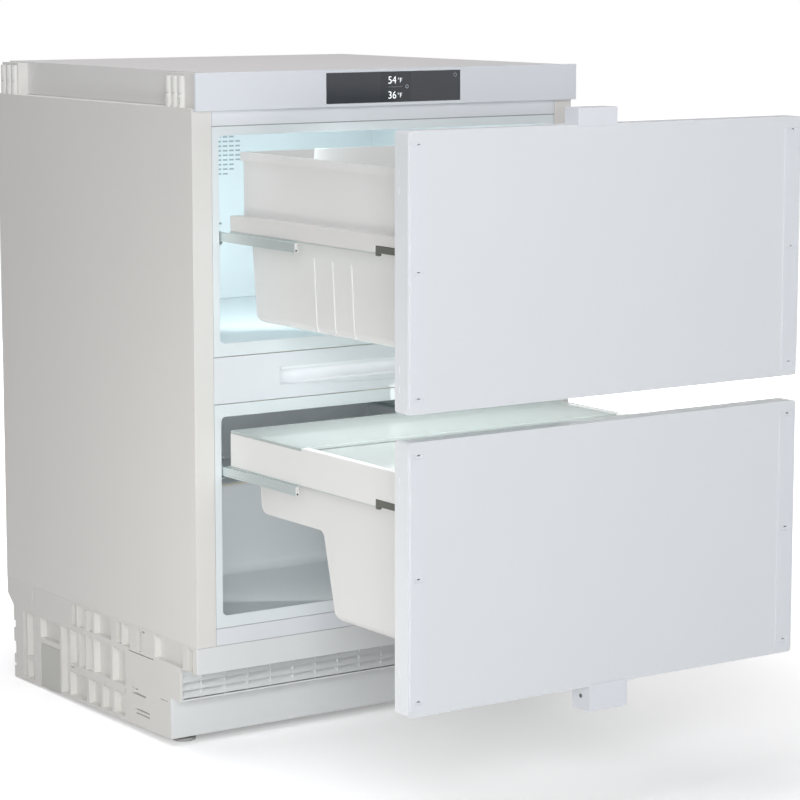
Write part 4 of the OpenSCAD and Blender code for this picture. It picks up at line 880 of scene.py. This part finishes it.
# %% World
WORLD_ROOM, WORLD_MIRRORED = 0.12, 0.45
world = bpy.data.worlds.new("studio")
bpy.context.scene.world = world
world.use_nodes = True
world_tree = world.node_tree
world_light = world_tree.nodes["Background"]
world_path = world_tree.nodes.new("ShaderNodeLightPath")
seen = math_node(world_tree, "MAXIMUM", world_path.outputs["Is Camera Ray"],
                 world_path.outputs["Is Transmission Ray"])
mirrored = math_node(world_tree, "MULTIPLY", world_path.outputs["Is Glossy Ray"], WORLD_MIRRORED)
room = math_node(world_tree, "MAXIMUM", mirrored, WORLD_ROOM)
world_tree.links.new(math_node(world_tree, "MAXIMUM", room, seen), world_light.inputs["Strength"])
world_light.inputs["Color"].default_value = (1.0, 1.0, 1.0, 1.0)
print("world: room", WORLD_ROOM, "mirrored", WORLD_MIRRORED)

# %% [markdown]
# Large soft boxes light the studio: one on the camera's side, a weaker one before the drawers, a
# small one low at the left that fades towards the back of the side panel, one above, and one behind
# at the right for the sides that the photograph doesn't show. The refrigerator has its own lamps
# too: cold white ones in the compartments and over the lower drawer, and the strip in the recess
# between the drawers. Two of them hang where a shut drawer's front would pass, so light linking lets
# them reach only the bins, their carriers, the glass and the upper compartment's walls.

# %% Lamps
def soft_box(name, place, target, size, power, colour):
    """A rectangular lamp at a place, aimed at a target, with its power in watts."""
    data = bpy.data.lights.new(name, "AREA")
    data.shape = "RECTANGLE"
    data.size, data.size_y = size
    data.energy = power
    data.color = colour
    lamp = bpy.data.objects.new(name, data)
    lamp.location = place
    turn = (Vector(target) - Vector(place)).to_track_quat("-Z", "Y")
    lamp.rotation_euler = turn.to_euler()
    lamp.visible_camera = False
    bpy.context.scene.collection.objects.link(lamp)
    return lamp


upper_low, upper_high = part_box("duct_cover")
upper_mid_z = (upper_low[2] + upper_high[2]) / 2
lower_mid_z = (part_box("lower_liner")[0][2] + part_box("lower_liner")[1][2]) / 2
lid_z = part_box("rear_glass")[1][2]
inside = case_front + 60 * MM
lid_y = case_front - 190 * MM
recess_y, recess_low = case_front + 7 * MM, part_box("middle_light")[0][2]
lamps = {
    "front_box": ((1.7, -3.9, 1.3), (0.2, -0.5, 0.4), (2.6, 2.4), 22.0, (1.0, 0.98, 1.0)),
    "camera_box": ((-2.6, -3.8, 1.6), (-0.1, -0.2, 0.4), (2.2, 2.2), 112.0, (0.95, 0.975, 1.0)),
    "low_box": ((-0.95, -0.4, 0.28), (-0.3, -0.06, 0.22), (0.35, 0.35), 1.45, (1.0, 0.97, 0.92)),
    "back_box": ((2.5, 3.0, 0.42), (0.1, 0.2, 0.42), (2.4, 0.7), 60.0, (1.0, 0.98, 0.97)),
    "top_box": ((-0.4, 0.3, 3.4), (0.0, 0.0, 0.5), (2.4, 2.4), 49.0, (0.98, 0.96, 1.0)),
    "upper_lamp": ((-0.1, inside, upper_mid_z + 20 * MM), (0.06, upper_low[1], upper_mid_z), (0.3, 0.2),
                   0.62, (0.88, 0.98, 1.0)),
    "bin_lamp": ((-0.1, case_front + 20 * MM, upper_high[2] - 40 * MM),
                 (0.24, case_front - 250 * MM, upper_mid_z + 40 * MM), (0.3, 0.06), 0.2, (0.86, 0.97, 1.0)),
    "lower_lamp": ((-0.1, inside, lower_mid_z), (0.12, upper_low[1], lower_mid_z), (0.3, 0.3),
                   0.13, (1.0, 0.97, 0.96)),
    "lid_lamp": ((0.0, lid_y, lid_z + 60 * MM), (0.0, lid_y, 0.0), (0.5, 0.34), 0.66, (1.0, 0.99, 0.99)),
    "recess_lamp": ((0.0, recess_y, recess_low - MM), (0.0, recess_y, 0.0), (0.33, 0.01), 0.012,
                    (1.0, 0.97, 0.92)),
}
lights_only = {
    "bin_lamp": ("upper_bin", "upper_carriers", "upper_liner", "duct_cover"),
    "lid_lamp": ("rear_glass", "front_glass", "lower_bin", "lower_carriers"),
}
for name, (place, target, size, power, colour) in lamps.items():
    lamp = soft_box(name, place, target, size, power, colour)
    if name in lights_only:
        receivers = bpy.data.collections.new(name + "_receivers")
        for node in lights_only[name]:
            receivers.objects.link(bpy.data.objects["soft_" + node])
        lamp.light_linking.receiver_collection = receivers
print("lamps:", ", ".join(lamps))
